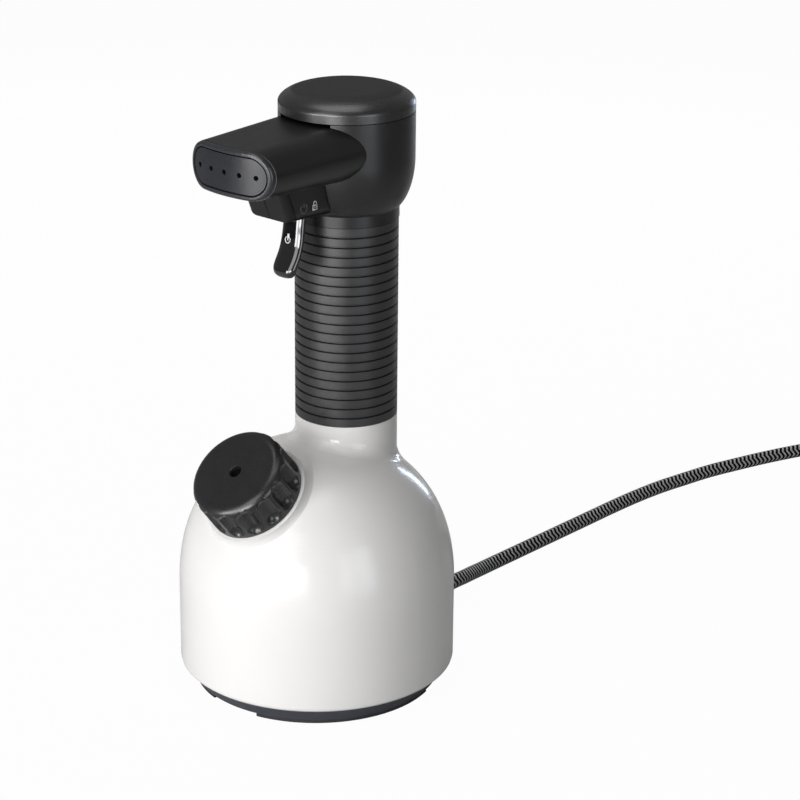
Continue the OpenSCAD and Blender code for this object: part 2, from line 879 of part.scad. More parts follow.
// Scooped flutes with rounded ends
module flutes() {
  scoop = sqrt(flute_r * flute_r - pow(flute_r - flute_depth, 2));
  low = flute_lip + scoop;
  high = cap_h - cap_round - scoop;
  for (k = [0:flute_count - 1])
    rotate([0, 0, flute_phase + 360 * k / flute_count])
      translate([cap_r + flute_r - flute_depth, 0, low]) {
        cylinder(r = flute_r, h = high - low, $fn = 48);
        sphere(r = flute_r, $fn = 48);
        translate([0, 0, high - low]) sphere(r = flute_r, $fn = 48);
      }
}

module cap_knob() {
  color(charcoal) at_filler() difference() {
    rotate_extrude() polygon(concat(
      [[0, 0], [cap_r, 0]],
      round_over(cap_flat_r, cap_h - cap_round, cap_round, cap_round, 2, 6),
      [[0, cap_h]]
    ));
    flutes();
    difference() {
      translate([0, 0, -over]) cylinder(r = skirt_r, h = cap_roof + over);
      translate([0, 0, sleeve_foot]) cylinder(r = sleeve_r + sleeve_t, h = cap_roof);
    }
    translate([0, 0, -over]) cylinder(r = sleeve_r, h = cap_roof + over);
    cylinder(r = vent_r, h = cap_h + over);
    translate([0, 0, cap_h - 0.6]) cylinder(r1 = vent_r, r2 = vent_r + 0.7, h = 0.7);
  }
}

module cap_plug() {
  disc_z = neck_pipe_h + fit + seal_h;
  color(black) at_filler() {
    translate([0, 0, disc_z]) cylinder(r = plug_disc_r, h = plug_disc_h);
    translate([0, 0, disc_z - plug_nose]) cylinder(r = neck_bore_r - gap, h = plug_nose);
    translate([0, 0, disc_z]) cylinder(r = vent_r - fit, h = stem_top - disc_z);
  }
}

module plug_seal() {
  color("firebrick") at_filler() translate([0, 0, neck_pipe_h + fit]) difference() {
    cylinder(r = plug_disc_r, h = seal_h);
    translate([0, 0, -over]) cylinder(r = neck_bore_r - gap + fit, h = seal_h + 2 * over);
  }
}

// Points along a spring's wire
function helix(r, pitch, turns, steps) = [
  for (i = [0:turns * steps])
    [r * cos(360 * i / steps), r * sin(360 * i / steps), pitch * i / steps]
];

module cap_spring() {
  foot = neck_pipe_h + fit + seal_h + plug_disc_h + fit;
  room = cap_roof - foot - gap;
  pitch = (room - 2 * spring_wire_r) / spring_turns;
  color(steel) at_filler() translate([0, 0, foot + spring_wire_r])
    swept_bar(helix(spring_ring_r, pitch, spring_turns, 20), spring_wire_r, 8);
}

module valve_body() {
  color(brass) difference() {
    union() {
      at_grip(boiler_seam_z) cylinder(r = valve_stub_r, h = valve_block_z - boiler_seam_z);
      at_grip(valve_block_z + valve_block_h / 2)
        cube([valve_block_w, valve_block_w * 0.8, valve_block_h], center = true);
      at_grip(coil_z) cylinder(r = core_r, h = valve_top_z - coil_z);
    }
    boiler_dome(seat);
    at_grip(boiler_seam_z) cylinder(r = steam_bore_r, h = valve_top_z);
  }
}

module valve_coil() {
  color("firebrick") difference() {
    at_grip(coil_z) cylinder(r = coil_r, h = coil_h);
    at_grip(coil_z - over) cylinder(r = core_r + seat, h = coil_h + 2 * over);
  }
}

// The steam tube's path as a solid of a given radius
module steam_run(r, extra) {
  rise = nozzle_z - elbow_r - valve_top_z;
  reach = face_reach(rim_depth + plate_t) - distributor_len - distributor_hub_len - elbow_r;
  at_grip(valve_top_z - extra) cylinder(r = r, h = rise + extra, $fn = 48);
  at_grip(nozzle_z - elbow_r) translate([0, -elbow_r, 0]) rotate([90, 0, 90])
    rotate_extrude(angle = 90) translate([elbow_r, 0]) circle(r = r, $fn = 48);
  at_grip(nozzle_z) translate([0, -elbow_r, 0]) rotate([90, 0, 0])
    cylinder(r = r, h = reach + distributor_hub_len - over + extra, $fn = 48);
}

// Distance of the nozzle's curved face from the grip's axis, at a depth behind it
function face_reach(depth) = nozzle_reach - depth;

module steam_tube() {
  color("gainsboro") difference() {
    steam_run(steam_tube_r, 0);
    steam_run(steam_bore_r, over);
  }
}

module handle_tube() {
  color(charcoal) at_grip(tube_bottom_z) difference() {
    cylinder(r = tube_r, h = tube_top_z - tube_bottom_z);
    translate([0, 0, -over]) cylinder(r = tube_bore_r, h = tube_top_z - tube_bottom_z + 2 * over);
  }
}

module grip_sleeve() {
  grooves = [
    for (k = [1:rib_count - 1])
      let (z = k * rib_pitch)
      each [
        [grip_r, z - groove_w / 2], [grip_r - groove_depth, z - groove_floor / 2],
        [grip_r - groove_depth, z + groove_floor / 2], [grip_r, z + groove_w / 2]
      ]
  ];
  color(charcoal) at_grip(grip_z) rotate_extrude() polygon(concat(
    [[tube_r + seat, 0], [grip_r - groove_floor, 0], [grip_r, groove_floor]],
    grooves,
    [[grip_r, grip_len - groove_floor], [grip_r - groove_floor, grip_len], [tube_r + seat, grip_len]]
  ));
}

// Half profile of the head's curve, from its straight wall down to the collar
function head_curve(inset) = [
  for (i = [0:head_steps])
    let (drop = (head_curve_h - inset) * i / head_steps)
    [
      head_r - head_curve_rx
        + (head_curve_rx - inset) * sqrt(1 - pow(drop / (head_curve_rz - inset), 2)),
      head_curve_z - drop
    ]
];

// The head's outer form as a full solid, made larger all round
module head_form(grow) {
  at_grip() rotate_extrude() polygon(concat(
    [[0, seam_z - lid_seam], [head_r + grow, seam_z - lid_seam]],
    [for (p = head_curve(0)) p + [grow, 0]],
    [[collar_r + grow, grip_top_z], [0, grip_top_z]]
  ));
}

module head_cavity() {
  at_grip() rotate_extrude() polygon(concat(
    [[0, seam_z + over], [head_r - head_wall, seam_z + over]],
    [for (p = head_curve(head_wall)) if (p[1] > head_floor_z) p],
    [[collar_r, head_floor_z], [0, head_floor_z]]
  ));
}

// The nozzle's outer form: two cones with a wedge between them
module nozzle_form(grow, extra = 0) {
  from = nozzle_start - extra;
  to = nozzle_reach + extra;
  at_grip(nozzle_z) {
    for (s = [-1, 1])
      translate([s * nozzle_half_flat, -from, 0]) rotate([90, 0, 0])
        cylinder(r1 = nozzle_half(from) + grow, r2 = nozzle_half(to) + grow, h = to - from);
    side_extrude(nozzle_flat) polygon([
      [-from, -nozzle_half(from) - grow], [-from, nozzle_half(from) + grow],
      [-to, nozzle_half(to) + grow], [-to, -nozzle_half(to) - grow]
    ]);
  }
}

// Everything behind the nozzle's curved face, at a depth behind it
module behind_face(depth) {
  at_grip(nozzle_z - nozzle_back_h) translate([0, -face_axis, 0])
    cylinder(r = face_curve_r - depth, h = 2 * nozzle_back_h, $fn = 180);
}

module head_shell() {
  color(black) difference() {
    union() {
      difference() {
        head_form(0);
        head_cavity();
      }
      for (s = [-1, 1])
        at_grip(head_floor_z - over) translate([s * standoff_x, standoff_y, 0])
          cylinder(r = standoff_r, h = board_z - head_floor_z + over, $fn = 32);
    }
    at_grip(grip_top_z - over) cylinder(r = tube_r + seat, h = tube_seat_depth + over);
    at_grip(grip_top_z) cylinder(r = tube_bore_r, h = head_floor_z - grip_top_z + over);
    nozzle_form(seat);
    at_grip(nozzle_z) translate([-slot_half_w, -head_r - over, 0])
      cube([2 * slot_half_w, head_r, nozzle_drop + over]);
    at_grip(nozzle_z - pod_drop + pod_wall + over) translate([-window_half_w, -head_r - over, 0])
      cube([2 * window_half_w, head_r, pod_drop - nozzle_start]);
  }
}

module head_lid() {
  straight_h = lid_h - lid_round_h;
  color(charcoal) at_grip(seam_z) difference() {
    union() {
      rotate_extrude() polygon(concat(
        [[0, 0], [head_r, 0]],
        round_over(head_r - lid_round_r, straight_h, lid_round_r, lid_round_h, lid_power, head_steps),
        [[0, lid_h]]
      ));
      difference() {
        translate([0, 0, -lid_skirt_h])
          cylinder(r = head_r - head_wall - gap, h = lid_skirt_h + over);
        translate([-head_r, -2 * head_r - nozzle_start + gap, -lid_skirt_h - over])
          cube([2 * head_r, 2 * head_r, lid_skirt_h + over]);
      }
    }
    translate([0, 0, -lid_skirt_h - over])
      cylinder(r = head_r - head_wall - gap - lid_skirt_t, h = lid_skirt_h + straight_h);
  }
}

module nozzle_shell() {
  color(black) difference() {
    intersection() {
      nozzle_form(0);
      behind_face(rim_depth);
    }
    nozzle_form(-nozzle_wall, over);
  }
}

// Rounded rim that follows the nozzle's outline and its curved face
module nozzle_rim() {
  front = [
    for (a = [0:22.5:90])
      [rim_outer_r - rim_round + rim_round * cos(a), rim_round - rim_round * sin(a)]
  ];
  lip = [
    for (a = [90:45:180])
      [rim_inner_r + rim_lip_round + rim_lip_round * cos(a), rim_lip_round - rim_lip_round * sin(a)]
  ];
  back = rim_depth - fit;
  outline = concat([[rim_outer_r, back]], front, lip, [[rim_inner_r, back]]);
  turns = [
    for (s = [1, -1])
      each concat(
        [for (i = [0:rim_sides]) [s * nozzle_half_flat, 180 * i / rim_sides - s * 90]],
        [for (i = [1:flat_sides - 1]) [s * (nozzle_half_flat - nozzle_flat * i / flat_sides), s * 90]]
      )
  ];
  points = [
    for (t = turns, p = outline)
      let (
        x = t[0] + p[0] * cos(t[1]),
        z = p[0] * sin(t[1]),
        y = face_axis + sqrt(pow(face_curve_r - p[1], 2) - x * x)
      )
      [x, -y, z]
  ];
  color(black) at_grip(nozzle_z) polyhedron(points, ring_faces(len(turns), len(outline)));
}

// A bar with the steam plate's outline, along the nozzle
module plate_bar(r) {
  at_grip(nozzle_z) rotate([90, 0, 0]) linear_extrude(nozzle_reach) {
    square([nozzle_flat, 2 * r], center = true);
    for (s = [-1, 1])
      translate([s * nozzle_half_flat, 0]) circle(r = r);
  }
}

module steam_holes() {
  for (k = [0:hole_count - 1])
    at_grip(nozzle_z) translate([(k - (hole_count - 1) / 2) * hole_pitch, 0, 0])
      rotate([90, 0, 0]) cylinder(r = hole_d / 2, h = nozzle_reach + over, $fn = 32);
}

module steam_plate() {
  color(black) difference() {
    intersection() {
      plate_bar(plate_r);
      behind_face(plate_recess);
    }
    behind_face(plate_recess + plate_t);
    steam_holes();
  }
}

module distributor() {
  front = plate_recess + plate_t + seat;
  back = nozzle_reach - front - distributor_len;
  color(brass) difference() {
    union() {
      intersection() {
        plate_bar(distributor_r);
        behind_face(front);
        at_grip(nozzle_z) translate([0, -back - distributor_len, 0])
          cube([4 * nozzle_flat, 2 * distributor_len, nozzle_front_h], center = true);
      }
      at_grip(nozzle_z) translate([0, -back + distributor_hub_len, 0]) rotate([90, 0, 0])
        cylinder(r = distributor_hub_r, h = distributor_hub_len + over, $fn = 48);
    }
    difference() {
      intersection() {
        plate_bar(distributor_r - distributor_wall);
        at_grip(nozzle_z) translate([0, -back - distributor_len - distributor_wall, 0])
          cube([4 * nozzle_flat, 2 * distributor_len, nozzle_front_h], center = true);
      }
    }
    at_grip(nozzle_z) translate([0, -back + distributor_hub_len + over, 0]) rotate([90, 0, 0])
      cylinder(r = steam_tube_r + seat, h = distributor_hub_len + distributor_len, $fn = 48);
  }
}

// Flat-bottomed trough with rounded lower corners, made smaller by a wall
module trough(inset, corner, height) {
  r = corner - inset;
  translate([-pod_half_w + inset, inset + r]) square([pod_w - 2 * inset, height]);
  translate([-pod_half_w + corner, inset]) square([pod_w - 2 * corner, height]);
  for (s = [-1, 1])
    translate([s * (pod_half_w - corner), inset + r]) circle(r = r);
}

// The pod's outer form, made smaller by a wall on its sides, front and floor
module pod_form(inset, raise = 0) {
  length = 40;
  at_grip(nozzle_z) intersection() {
    translate([0, -pod_reach, -pod_drop]) rotate([pod_lean, 0, 0])
      translate([0, 0, -length / 4]) linear_extrude(length) trough(inset, pod_round, length);
    translate([0, -pod_reach, -pod_drop]) rotate([90 - pod_rise_angle, 0, 0])
      linear_extrude(2 * length, center = true) trough(inset, pod_edge, length);
    side_extrude(2 * pod_w) polygon([
      [-pod_reach - pod_start, -2 * pod_drop],
      [-pod_start, -2 * pod_drop],
      [-pod_start, -nozzle_half(pod_start) - pod_top_gap + raise],
      [-pod_reach - pod_start, -nozzle_half(pod_reach + pod_start) - pod_top_gap + raise]
    ]);
  }
}

// The region of the pod that the side button takes up
module button_space(grow) {
  low = button_sill - grow;
  front = -pod_reach + button_set - grow;
  at_grip(nozzle_z) translate([button_inner_x - grow + pod_w, 0, 0])
    side_extrude(2 * pod_w) polygon([
      [front - low * tan(pod_lean), low - pod_drop],
      [0, low - pod_drop - tan(pod_rise_angle) * pod_reach],
      [0, grow],
      [front - pod_drop * tan(pod_lean), grow]
    ]);
}

module pod_housing() {
  pin_floor = nozzle_z - pod_drop;
  color(black) difference() {
    union() {
      difference() {
        pod_form(0);
        pod_form(pod_wall, over);
        button_space(0);
      }
      for (s = [-1, 1])
        intersection() {
          translate([0, button_t + gap, 0]) pod_form(2 * gap);
          at_grip(nozzle_z - pod_drop) translate([s * (inner_wall_x + inner_wall_t / 2), -pod_reach, 0])
            cube([inner_wall_t, 2 * pod_reach, 4 * pod_drop], center = true);
        }
      intersection() {
        pod_form(seat);
        at_grip(pin_floor) translate([button_pin_x, -button_pin_reach, 0])
          cylinder(r = knuckle_r, h = pin_post_h, $fn = 32);
      }
    }
    head_form(seat);
    at_grip(pivot_z) translate([0, -pivot_reach, 0]) rotate([0, 90, 0])
      cylinder(r = pin_r + press, h = 2 * pod_w, center = true, $fn = 48);
    at_grip(pin_floor - 5) translate([-trigger_w / 2 - gap, -pivot_reach - 1.6, 0])
      cube([trigger_w + 2 * gap, 7.8, 5 + pod_wall + over]);
    at_grip(pin_floor) translate([button_pin_x, -button_pin_reach, button_sill - 1])
      cylinder(r = button_pin_r + press, h = 2, $fn = 32);
    at_grip(nozzle_z - pod_drop) translate([0, -pod_reach, 0]) rotate([pod_lean, 0, 0])
      translate([-pod_panel_groove / 2, -over, -5])
        cube([pod_panel_groove, over + pod_panel_groove, pod_drop]);
  }
}

module side_button() {
  knuckle_z = nozzle_z - pod_drop + button_sill + gap;
  color(black) difference() {
    union() {
      intersection() {
        difference() {
          pod_form(0);
          pod_form(button_t, over);
        }
        button_space(-gap);
      }
      intersection() {
        pod_form(seat);
        at_grip(knuckle_z) translate([button_pin_x, -button_pin_reach, 0]) {
          cylinder(r = knuckle_r, h = knuckle_h, $fn = 32);
          translate([0, -1, 0]) cube([2 * knuckle_r, 2, knuckle_h]);
        }
      }
    }
    head_form(2 * gap);
    at_grip(knuckle_z - over) translate([button_pin_x, -button_pin_reach, 0])
      cylinder(r = button_pin_r + fit, h = knuckle_h + 2 * over, $fn = 32);
  }
}

module button_pin() {
  low = nozzle_z - pod_drop + button_sill - 1;
  color(steel) at_grip(low) translate([button_pin_x, -button_pin_reach, 0])
    cylinder(r = button_pin_r, h = knuckle_h + 1.8, $fn = 32);
}

module button_switch() {
  x = inner_wall_x + inner_wall_t;
  color("dimgray") at_grip(pivot_z) translate([x, -button_switch_reach, 0]) {
    translate([0, -button_switch_w / 2, 0]) cube([button_switch_t, button_switch_w, button_switch_w]);
    translate([button_switch_t, 0, button_switch_w / 2]) rotate([0, 90, 0])
      cylinder(r = 1, h = 0.6, $fn = 24);
  }
}

// Everything that turns on the trigger's pivot is drawn from there
module at_pivot() {
  at_grip(pivot_z) translate([0, -pivot_reach, 0]) children();
}

module trigger_blade() {
  lip = [
    for (a = [15:-22:-161])
      blade_lip + blade_lip_r * [cos(a), sin(a)]
  ];
  outline = concat([[2, -1]], blade_front, lip, blade_back);
  intersection() {
    side_extrude(trigger_w) polygon([for (p = outline) [-p[0], p[1]]]);
    rotate([90, 0, 0]) linear_extrude(40, center = true) {
      translate([-trigger_w / 2, -blade_tip_z + trigger_w / 2]) square([trigger_w, blade_tip_z]);
      translate([0, -blade_tip_z + trigger_w / 2]) circle(r = trigger_w / 2);
    }
  }
}

module trigger() {
  color(black) at_pivot() difference() {
    union() {
      trigger_blade();
      translate([-hub_half_w, 0, 0]) rotate([0, 90, 0])
        cylinder(r = hub_r, h = hub_half_w + trigger_w / 2, $fn = 48);
      translate([-arm_half_w, 0, arm_top - arm_t])
        cube([2 * arm_half_w, switch_arm + plunger_r, arm_t]);
    }
    rotate([0, 90, 0]) cylinder(r = pin_r + fit, h = 2 * trigger_w, center = true, $fn = 48);
    translate([-trigger_w, -hub_r - gap, -hub_r - gap])
      cube([trigger_w - hub_half_w, 2 * (hub_r + gap), 2 * (hub_r + gap)]);
  }
}

module trigger_pin() {
  color(steel) at_pivot() rotate([0, 90, 0])
    cylinder(r = pin_r, h = 2 * (inner_wall_x + inner_wall_t), center = true, $fn = 48);
}

module trigger_spring() {
  room = inner_wall_x - hub_half_w - 2 * gap;
  pitch = (room - 2 * torsion_wire_r) / torsion_turns;
  color(steel) at_pivot() translate([-inner_wall_x + gap + torsion_wire_r, 0, 0]) rotate([0, 90, 0])
    swept_bar(helix(torsion_ring_r, pitch, torsion_turns, 16), torsion_wire_r, 6);
}

module microswitch() {
  bottom = arm_top + gap + switch_drop;
  top = nozzle_z - nozzle_half(pivot_reach - switch_arm - switch_len / 2) - pod_top_gap - seat - pivot_z;
  color("dimgray") at_pivot() difference() {
    translate([-switch_w / 2, switch_arm - switch_len / 2, bottom])
      cube([switch_w, switch_len, top - bottom]);
    translate([0, switch_arm, bottom - over]) cylinder(r = plunger_r + fit, h = plunger_depth - 1.6, $fn = 32);
  }
}

module switch_plunger() {
  color("red") at_pivot() translate([0, switch_arm, arm_top + gap])
    cylinder(r = plunger_r, h = plunger_len, $fn = 32);
}

module control_board() {
  color("darkgreen") at_grip(board_z) difference() {
    intersection() {
      cylinder(r = board_r, h = board_t + 6);
      union() {
        translate([-board_r, 0, 0]) cube([2 * board_r, board_r, board_t]);
        translate([-12, 13, 0]) cube([10, 6, board_t + 5]);
        translate([4, 13, 0]) cube([5, 5, board_t + 3]);
      }
    }
    translate([0, 0, -over]) cylinder(r = board_hole_r, h = board_t + 2 * over);
    translate([0, tube_bore_r - cable_r - 0.2, -over]) cylinder(r = cable_r + gap, h = board_t + 9);
  }
}

module signal_cable() {
  color(rubber) at_grip(tube_bottom_z) translate([0, tube_bore_r - cable_r - 0.2, 0])
    cylinder(r = cable_r, h = board_z + board_t - tube_bottom_z, $fn = 32);
}

module terminal_block() {
  color("ivory") translate([block_x, block_y, floor_z]) difference() {
    translate([-block_size[0] / 2, -block_size[1] / 2, 0]) cube(block_size);
    for (k = [-1, 0, 1])
      translate([k * 4.4, 0, block_size[2] - 3]) cylinder(r = 1.4, h = 3 + over, $fn = 24);
  }
}

module cord_clamp() {
  color("ivory") difference() {
    translate([-clamp_w / 2, clamp_y, floor_z])
      cube([clamp_w, clamp_len, cord_exit_z + cord_r + 1.5 - floor_z]);
    translate([0, clamp_y - over, cord_exit_z]) rotate([-90, 0, 0])
      cylinder(r = cord_r + fit, h = clamp_len + 2 * over, $fn = 48);
  }
}

module inner_lead() {
  end = body_r - shell_wall - seat - relief_flange_t - 0.4;
  color(rubber) translate([0, lead_end_y, cord_exit_z]) rotate([-90, 0, 0])
    cylinder(r = cord_r, h = end - lead_end_y, $fn = 48);
}

// Tapered and ringed, with a flange inside the shell
module strain_relief() {
  neck_start = body_r - shell_wall - seat - 0.4;
  step = relief_len / (relief_grooves + 1);
  taper = (relief_base_r - relief_tip_r) / relief_len;
  rings = [
    for (k = [1:relief_grooves])
      let (y = k * step, r = relief_base_r - taper * y)
      each [
        [r, relief_start + y - 0.9], [r - 0.7, relief_start + y - 0.7],
        [r - 0.7, relief_start + y + 0.7], [r, relief_start + y + 0.9]
      ]
  ];
  color(rubber) translate([0, 0, cord_exit_z]) rotate([-90, 0, 0]) rotate_extrude($fn = 48)
    polygon(concat(
      [
        [0, neck_start - relief_flange_t], [relief_base_r, neck_start - relief_flange_t],
        [relief_base_r, neck_start], [relief_neck_r, neck_start],
        [relief_neck_r, relief_start], [relief_base_r, relief_start]
      ],
      rings,
      [[relief_tip_r, relief_start + relief_len], [0, relief_start + relief_len]]
    ));
}

module power_cord() {
  color(charcoal) {
    swept_bar(cord_route, cord_r, cord_sides);
    swept_bar(cord_tail, cord_r, cord_sides);
  }
}

// Outline of the coil's two layers, made larger all round
function coil_outline(grow) = [
  [coil_inner_r - grow, 0], [coil_outer_r + grow, 0],
  [coil_outer_r + grow, cord_d], [coil_outer_r - cord_r + grow / 2, coil_top_z + grow],
  [coil_inner_r + cord_r - grow / 2, coil_top_z + grow], [coil_inner_r - grow, cord_d]
];

module cord_coil() {
  color(charcoal) translate([coil_at[0], coil_at[1], 0]) rotate_extrude() polygon(coil_outline(0));
}

module cord_tie() {
  color(rubber) translate([coil_at[0], coil_at[1], 0]) rotate([0, 0, tie_turn])
    rotate([90, 0, 0]) linear_extrude(tie_w, center = true) difference() {
      polygon(coil_outline(tie_t));
      intersection() {
        polygon(coil_outline(0));
        translate([0, tie_t]) square([2 * coil_outer_r, coil_top_z]);
      }
    }
}

module mains_plug() {
  half = plug_w / 2;
  color(black) translate([plug_at[0], plug_at[1], plug_axis_z]) {
    rotate([90, 0, 0]) cylinder(r1 = cord_r + 0.8, r2 = boot_r, h = boot_len, $fn = 48);
    intersection() {
      translate([0, -boot_len, -plug_h / 2]) linear_extrude(plug_h) polygon([
        [-half, -plug_len], [half, -plug_len], [half, -plug_len * 0.45], [half - 2, -plug_len * 0.3],
        [plug_waist / 2, 0], [-plug_waist / 2, 0], [-half + 2, -plug_len * 0.3],
        [-half, -plug_len * 0.45]
      ]);
      rotate([90, 0, 0]) linear_extrude(boot_len + plug_len) {
        square([plug_w, plug_h - 2 * plug_corner], center = true);
        square([plug_w - 2 * plug_corner, plug_h], center = true);
        for (s = [-1, 1], t = [-1, 1])
          translate([s * (half - plug_corner), t * (plug_h / 2 - plug_corner)])
            circle(r = plug_corner, $fn = 48);
      }
    }
  }
}

module plug_blades() {
  front = plug_at[1] - boot_len - plug_len;
  color(steel) for (s = [-1, 1])
    translate([plug_at[0] + s * blade_pitch / 2, front, plug_axis_z]) difference() {
      translate([-blade_t / 2, -blade_len, -blade_h / 2]) cube([blade_t, blade_len, blade_h]);
      translate([0, -blade_len + blade_hole_at, 0]) rotate([0, 90, 0])
        cylinder(r = blade_hole_r, h = 4 * blade_t, center = true, $fn = 24);
    }
}

body_shell();
base();
feet();
base_screws();
boiler_lower();
boiler_upper();
carrier_ring();
boiler_screws();
insulation_jacket();
heater_plate();
heating_tube();
thermostat();
thermal_fuse();
filler_neck();
filler_gasket();
cap_knob();
cap_plug();
plug_seal();
cap_spring();
valve_body();
valve_coil();
steam_tube();
handle_tube();
grip_sleeve();
head_shell();
head_lid();
nozzle_shell();
nozzle_rim();
steam_plate();
distributor();
pod_housing();
side_button();
button_pin();
button_switch();
trigger();
trigger_pin();
trigger_spring();
microswitch();
switch_plunger();
control_board();
signal_cable();
terminal_block();
cord_clamp();
inner_lead();
strain_relief();
power_cord();
cord_coil();
cord_tie();
mains_plug();
plug_blades();
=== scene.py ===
import math

import bmesh
import bpy
from mathutils import Matrix, Vector
from mathutils.bvhtree import BVHTree


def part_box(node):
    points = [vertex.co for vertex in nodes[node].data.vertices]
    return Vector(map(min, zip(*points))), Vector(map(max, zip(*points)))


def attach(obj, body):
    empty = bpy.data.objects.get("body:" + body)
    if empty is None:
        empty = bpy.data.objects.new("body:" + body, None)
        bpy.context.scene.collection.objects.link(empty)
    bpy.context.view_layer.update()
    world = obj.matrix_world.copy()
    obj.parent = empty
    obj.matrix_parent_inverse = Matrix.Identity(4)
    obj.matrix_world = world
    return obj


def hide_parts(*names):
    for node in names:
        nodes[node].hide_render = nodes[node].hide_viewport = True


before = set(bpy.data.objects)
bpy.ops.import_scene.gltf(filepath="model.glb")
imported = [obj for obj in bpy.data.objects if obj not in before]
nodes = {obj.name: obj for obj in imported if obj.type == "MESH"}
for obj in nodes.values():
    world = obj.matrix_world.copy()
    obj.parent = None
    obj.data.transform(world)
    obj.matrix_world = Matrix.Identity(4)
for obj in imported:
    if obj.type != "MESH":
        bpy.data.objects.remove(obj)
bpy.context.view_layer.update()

MM = 0.001

# The camera stands in front and to the right, a little above the head

camera = bpy.data.cameras.new("studio_camera")
camera.lens = 118.2
camera.sensor_width = 36
camera.clip_start = 0.05
camera.clip_end = 20
camera_object = bpy.data.objects.new("studio_camera", camera)
bpy.context.scene.collection.objects.link(camera_object)
right = Vector((0.74978, 0.66162, 0.00938))
up = Vector((-0.23751, 0.25587, 0.93708))
back = Vector((0.61759, -0.70483, 0.34899))
camera_object.matrix_world = (
    Matrix.Translation((0.74924, -0.79889, 0.54016))
    @ Matrix((right, up, back)).transposed().to_4x4()
)
bpy.context.scene.camera = camera_object


# Finishes

def link(tree, a, b):
    tree.links.new(a, b)


def add(tree, kind, **values):
    node = tree.nodes.new(kind)
    for name, value in values.items():
        setattr(node, name, value)
    return node


def noise(tree, where, scale, detail=3.0, roughness=0.55, stretch=None):
    """A noise on the piece's own coordinates, with a scale in cells a metre."""
    if stretch is not None:
        mapping = add(tree, "ShaderNodeMapping")
        mapping.inputs["Scale"].default_value = stretch
        link(tree, where, mapping.inputs["Vector"])
        where = mapping.outputs["Vector"]
    cells = add(tree, "ShaderNodeTexNoise")
    cells.inputs["Scale"].default_value = scale
    cells.inputs["Detail"].default_value = detail
    cells.inputs["Roughness"].default_value = roughness
    link(tree, where, cells.inputs["Vector"])
    return cells.outputs["Fac"]


def spread(tree, value, low, high, start=0.3, end=0.7):
    """Maps the middle of a noise to a range."""
    ranged = add(tree, "ShaderNodeMapRange")
    ranged.inputs["From Min"].default_value = start
    ranged.inputs["From Max"].default_value = end
    ranged.inputs["To Min"].default_value = low
    ranged.inputs["To Max"].default_value = high
    link(tree, value, ranged.inputs["Value"])
    return ranged.outputs["Result"]


def blend_colour(tree, factor, first, second):
    mix = add(tree, "ShaderNodeMix", data_type="RGBA")
    mix.inputs[6].default_value = (*first, 1)
    mix.inputs[7].default_value = (*second, 1)
    link(tree, factor, mix.inputs[0])
    return mix.outputs[2]


def roughen(tree, shader, pattern, strength, height):
    """Raises the surface by a pattern, with its height in millimetres."""
    bump = add(tree, "ShaderNodeBump")
    bump.inputs["Strength"].default_value = strength
    bump.inputs["Distance"].default_value = height * MM
    link(tree, pattern, bump.inputs["Height"])
    link(tree, bump.outputs["Normal"], shader.inputs["Normal"])


def shade(colour, factor):
    return tuple(min(1.0, c * factor) for c in colour)


def finish(name, colour, rough, vary=0.08, vary_scale=60, grain=900, height=0.02,
           stretch=None, metallic=0.0, coat=0.0, coat_rough=0.05, sheen=0.0, ior=1.5, worn=None):
    """A moulded, cast or drawn finish: colour, gloss and surface each vary over the piece."""
    material = bpy.data.materials.new(name)
    material.use_nodes = True
    tree = material.node_tree
    shader = tree.nodes["Principled BSDF"]
    shader.inputs["Metallic"].default_value = metallic
    shader.inputs["IOR"].default_value = ior
    shader.inputs["Coat Weight"].default_value = coat
    shader.inputs["Coat Roughness"].default_value = coat_rough
    shader.inputs["Sheen Weight"].default_value = sheen
    where = add(tree, "ShaderNodeTexCoord").outputs["Object"]
    patches = noise(tree, where, vary_scale, stretch=stretch)
    tint = blend_colour(
        tree, spread(tree, patches, 0, 1),
        shade(colour, 1 - vary), worn or shade(colour, 1 + vary),
    )
    link(tree, tint, shader.inputs["Base Color"])
    gloss = noise(tree, where, vary_scale * 2.3, detail=5, stretch=stretch)
    link(tree, spread(tree, gloss, *rough), shader.inputs["Roughness"])
    roughen(tree, shader, noise(tree, where, grain, detail=4, stretch=stretch), 0.6, height)
    return material


gloss_white = finish(
    "gloss_white_shell", (0.86, 0.855, 0.84), (0.17, 0.24), vary=0.01, vary_scale=18,
    grain=260, height=0.010, coat=0.12, coat_rough=0.05, ior=1.42,
)
slate = finish(
    "slate_base_ring", (0.060, 0.064, 0.078), (0.36, 0.46), vary=0.1, grain=2200, height=0.02,
)
foot_rubber = finish(
    "foot_rubber", (0.022, 0.022, 0.024), (0.62, 0.8), vary=0.2, grain=1500, height=0.05,
)
satin_black = finish(
    "satin_black_moulding", (0.0085, 0.0085, 0.0095), (0.29, 0.36), vary=0.1, vary_scale=45,
    grain=2600, height=0.012, ior=1.6,
)
pod_black = finish(
    "pod_moulding", (0.0085, 0.0085, 0.0095), (0.32, 0.40), vary=0.1, vary_scale=45,
    grain=2600, height=0.012, ior=1.38,
)
rim_black = finish(
    "nozzle_rim_satin", (0.030, 0.031, 0.037), (0.20, 0.26), vary=0.08, grain=2400, height=0.012,
)
plate_black = finish(
    "steam_plate_satin", (0.016, 0.017, 0.022), (0.27, 0.34), vary=0.1, grain=2600, height=0.014,
)
cap_black = finish(
    "filler_cap_satin", (0.013, 0.013, 0.014), (0.24, 0.33), vary=0.12, grain=2400, height=0.007,
    ior=1.6,
)
# The cap plug seen down the vent is near-black, dull and hardly reflective: painted shade for the
# dark inside of the vent hole
painted_vent_shade = finish(
    "vent_painted_shade", (0.002, 0.002, 0.002), (0.8, 0.9), vary=0.2, grain=1500, ior=1.15,
)
gloss_black = finish(
    "trigger_high_gloss", (0.003, 0.003, 0.004), (0.07, 0.11), vary=0.2, vary_scale=30,
    grain=300, height=0.0015, coat=1.0, coat_rough=0.03, ior=1.6,
)
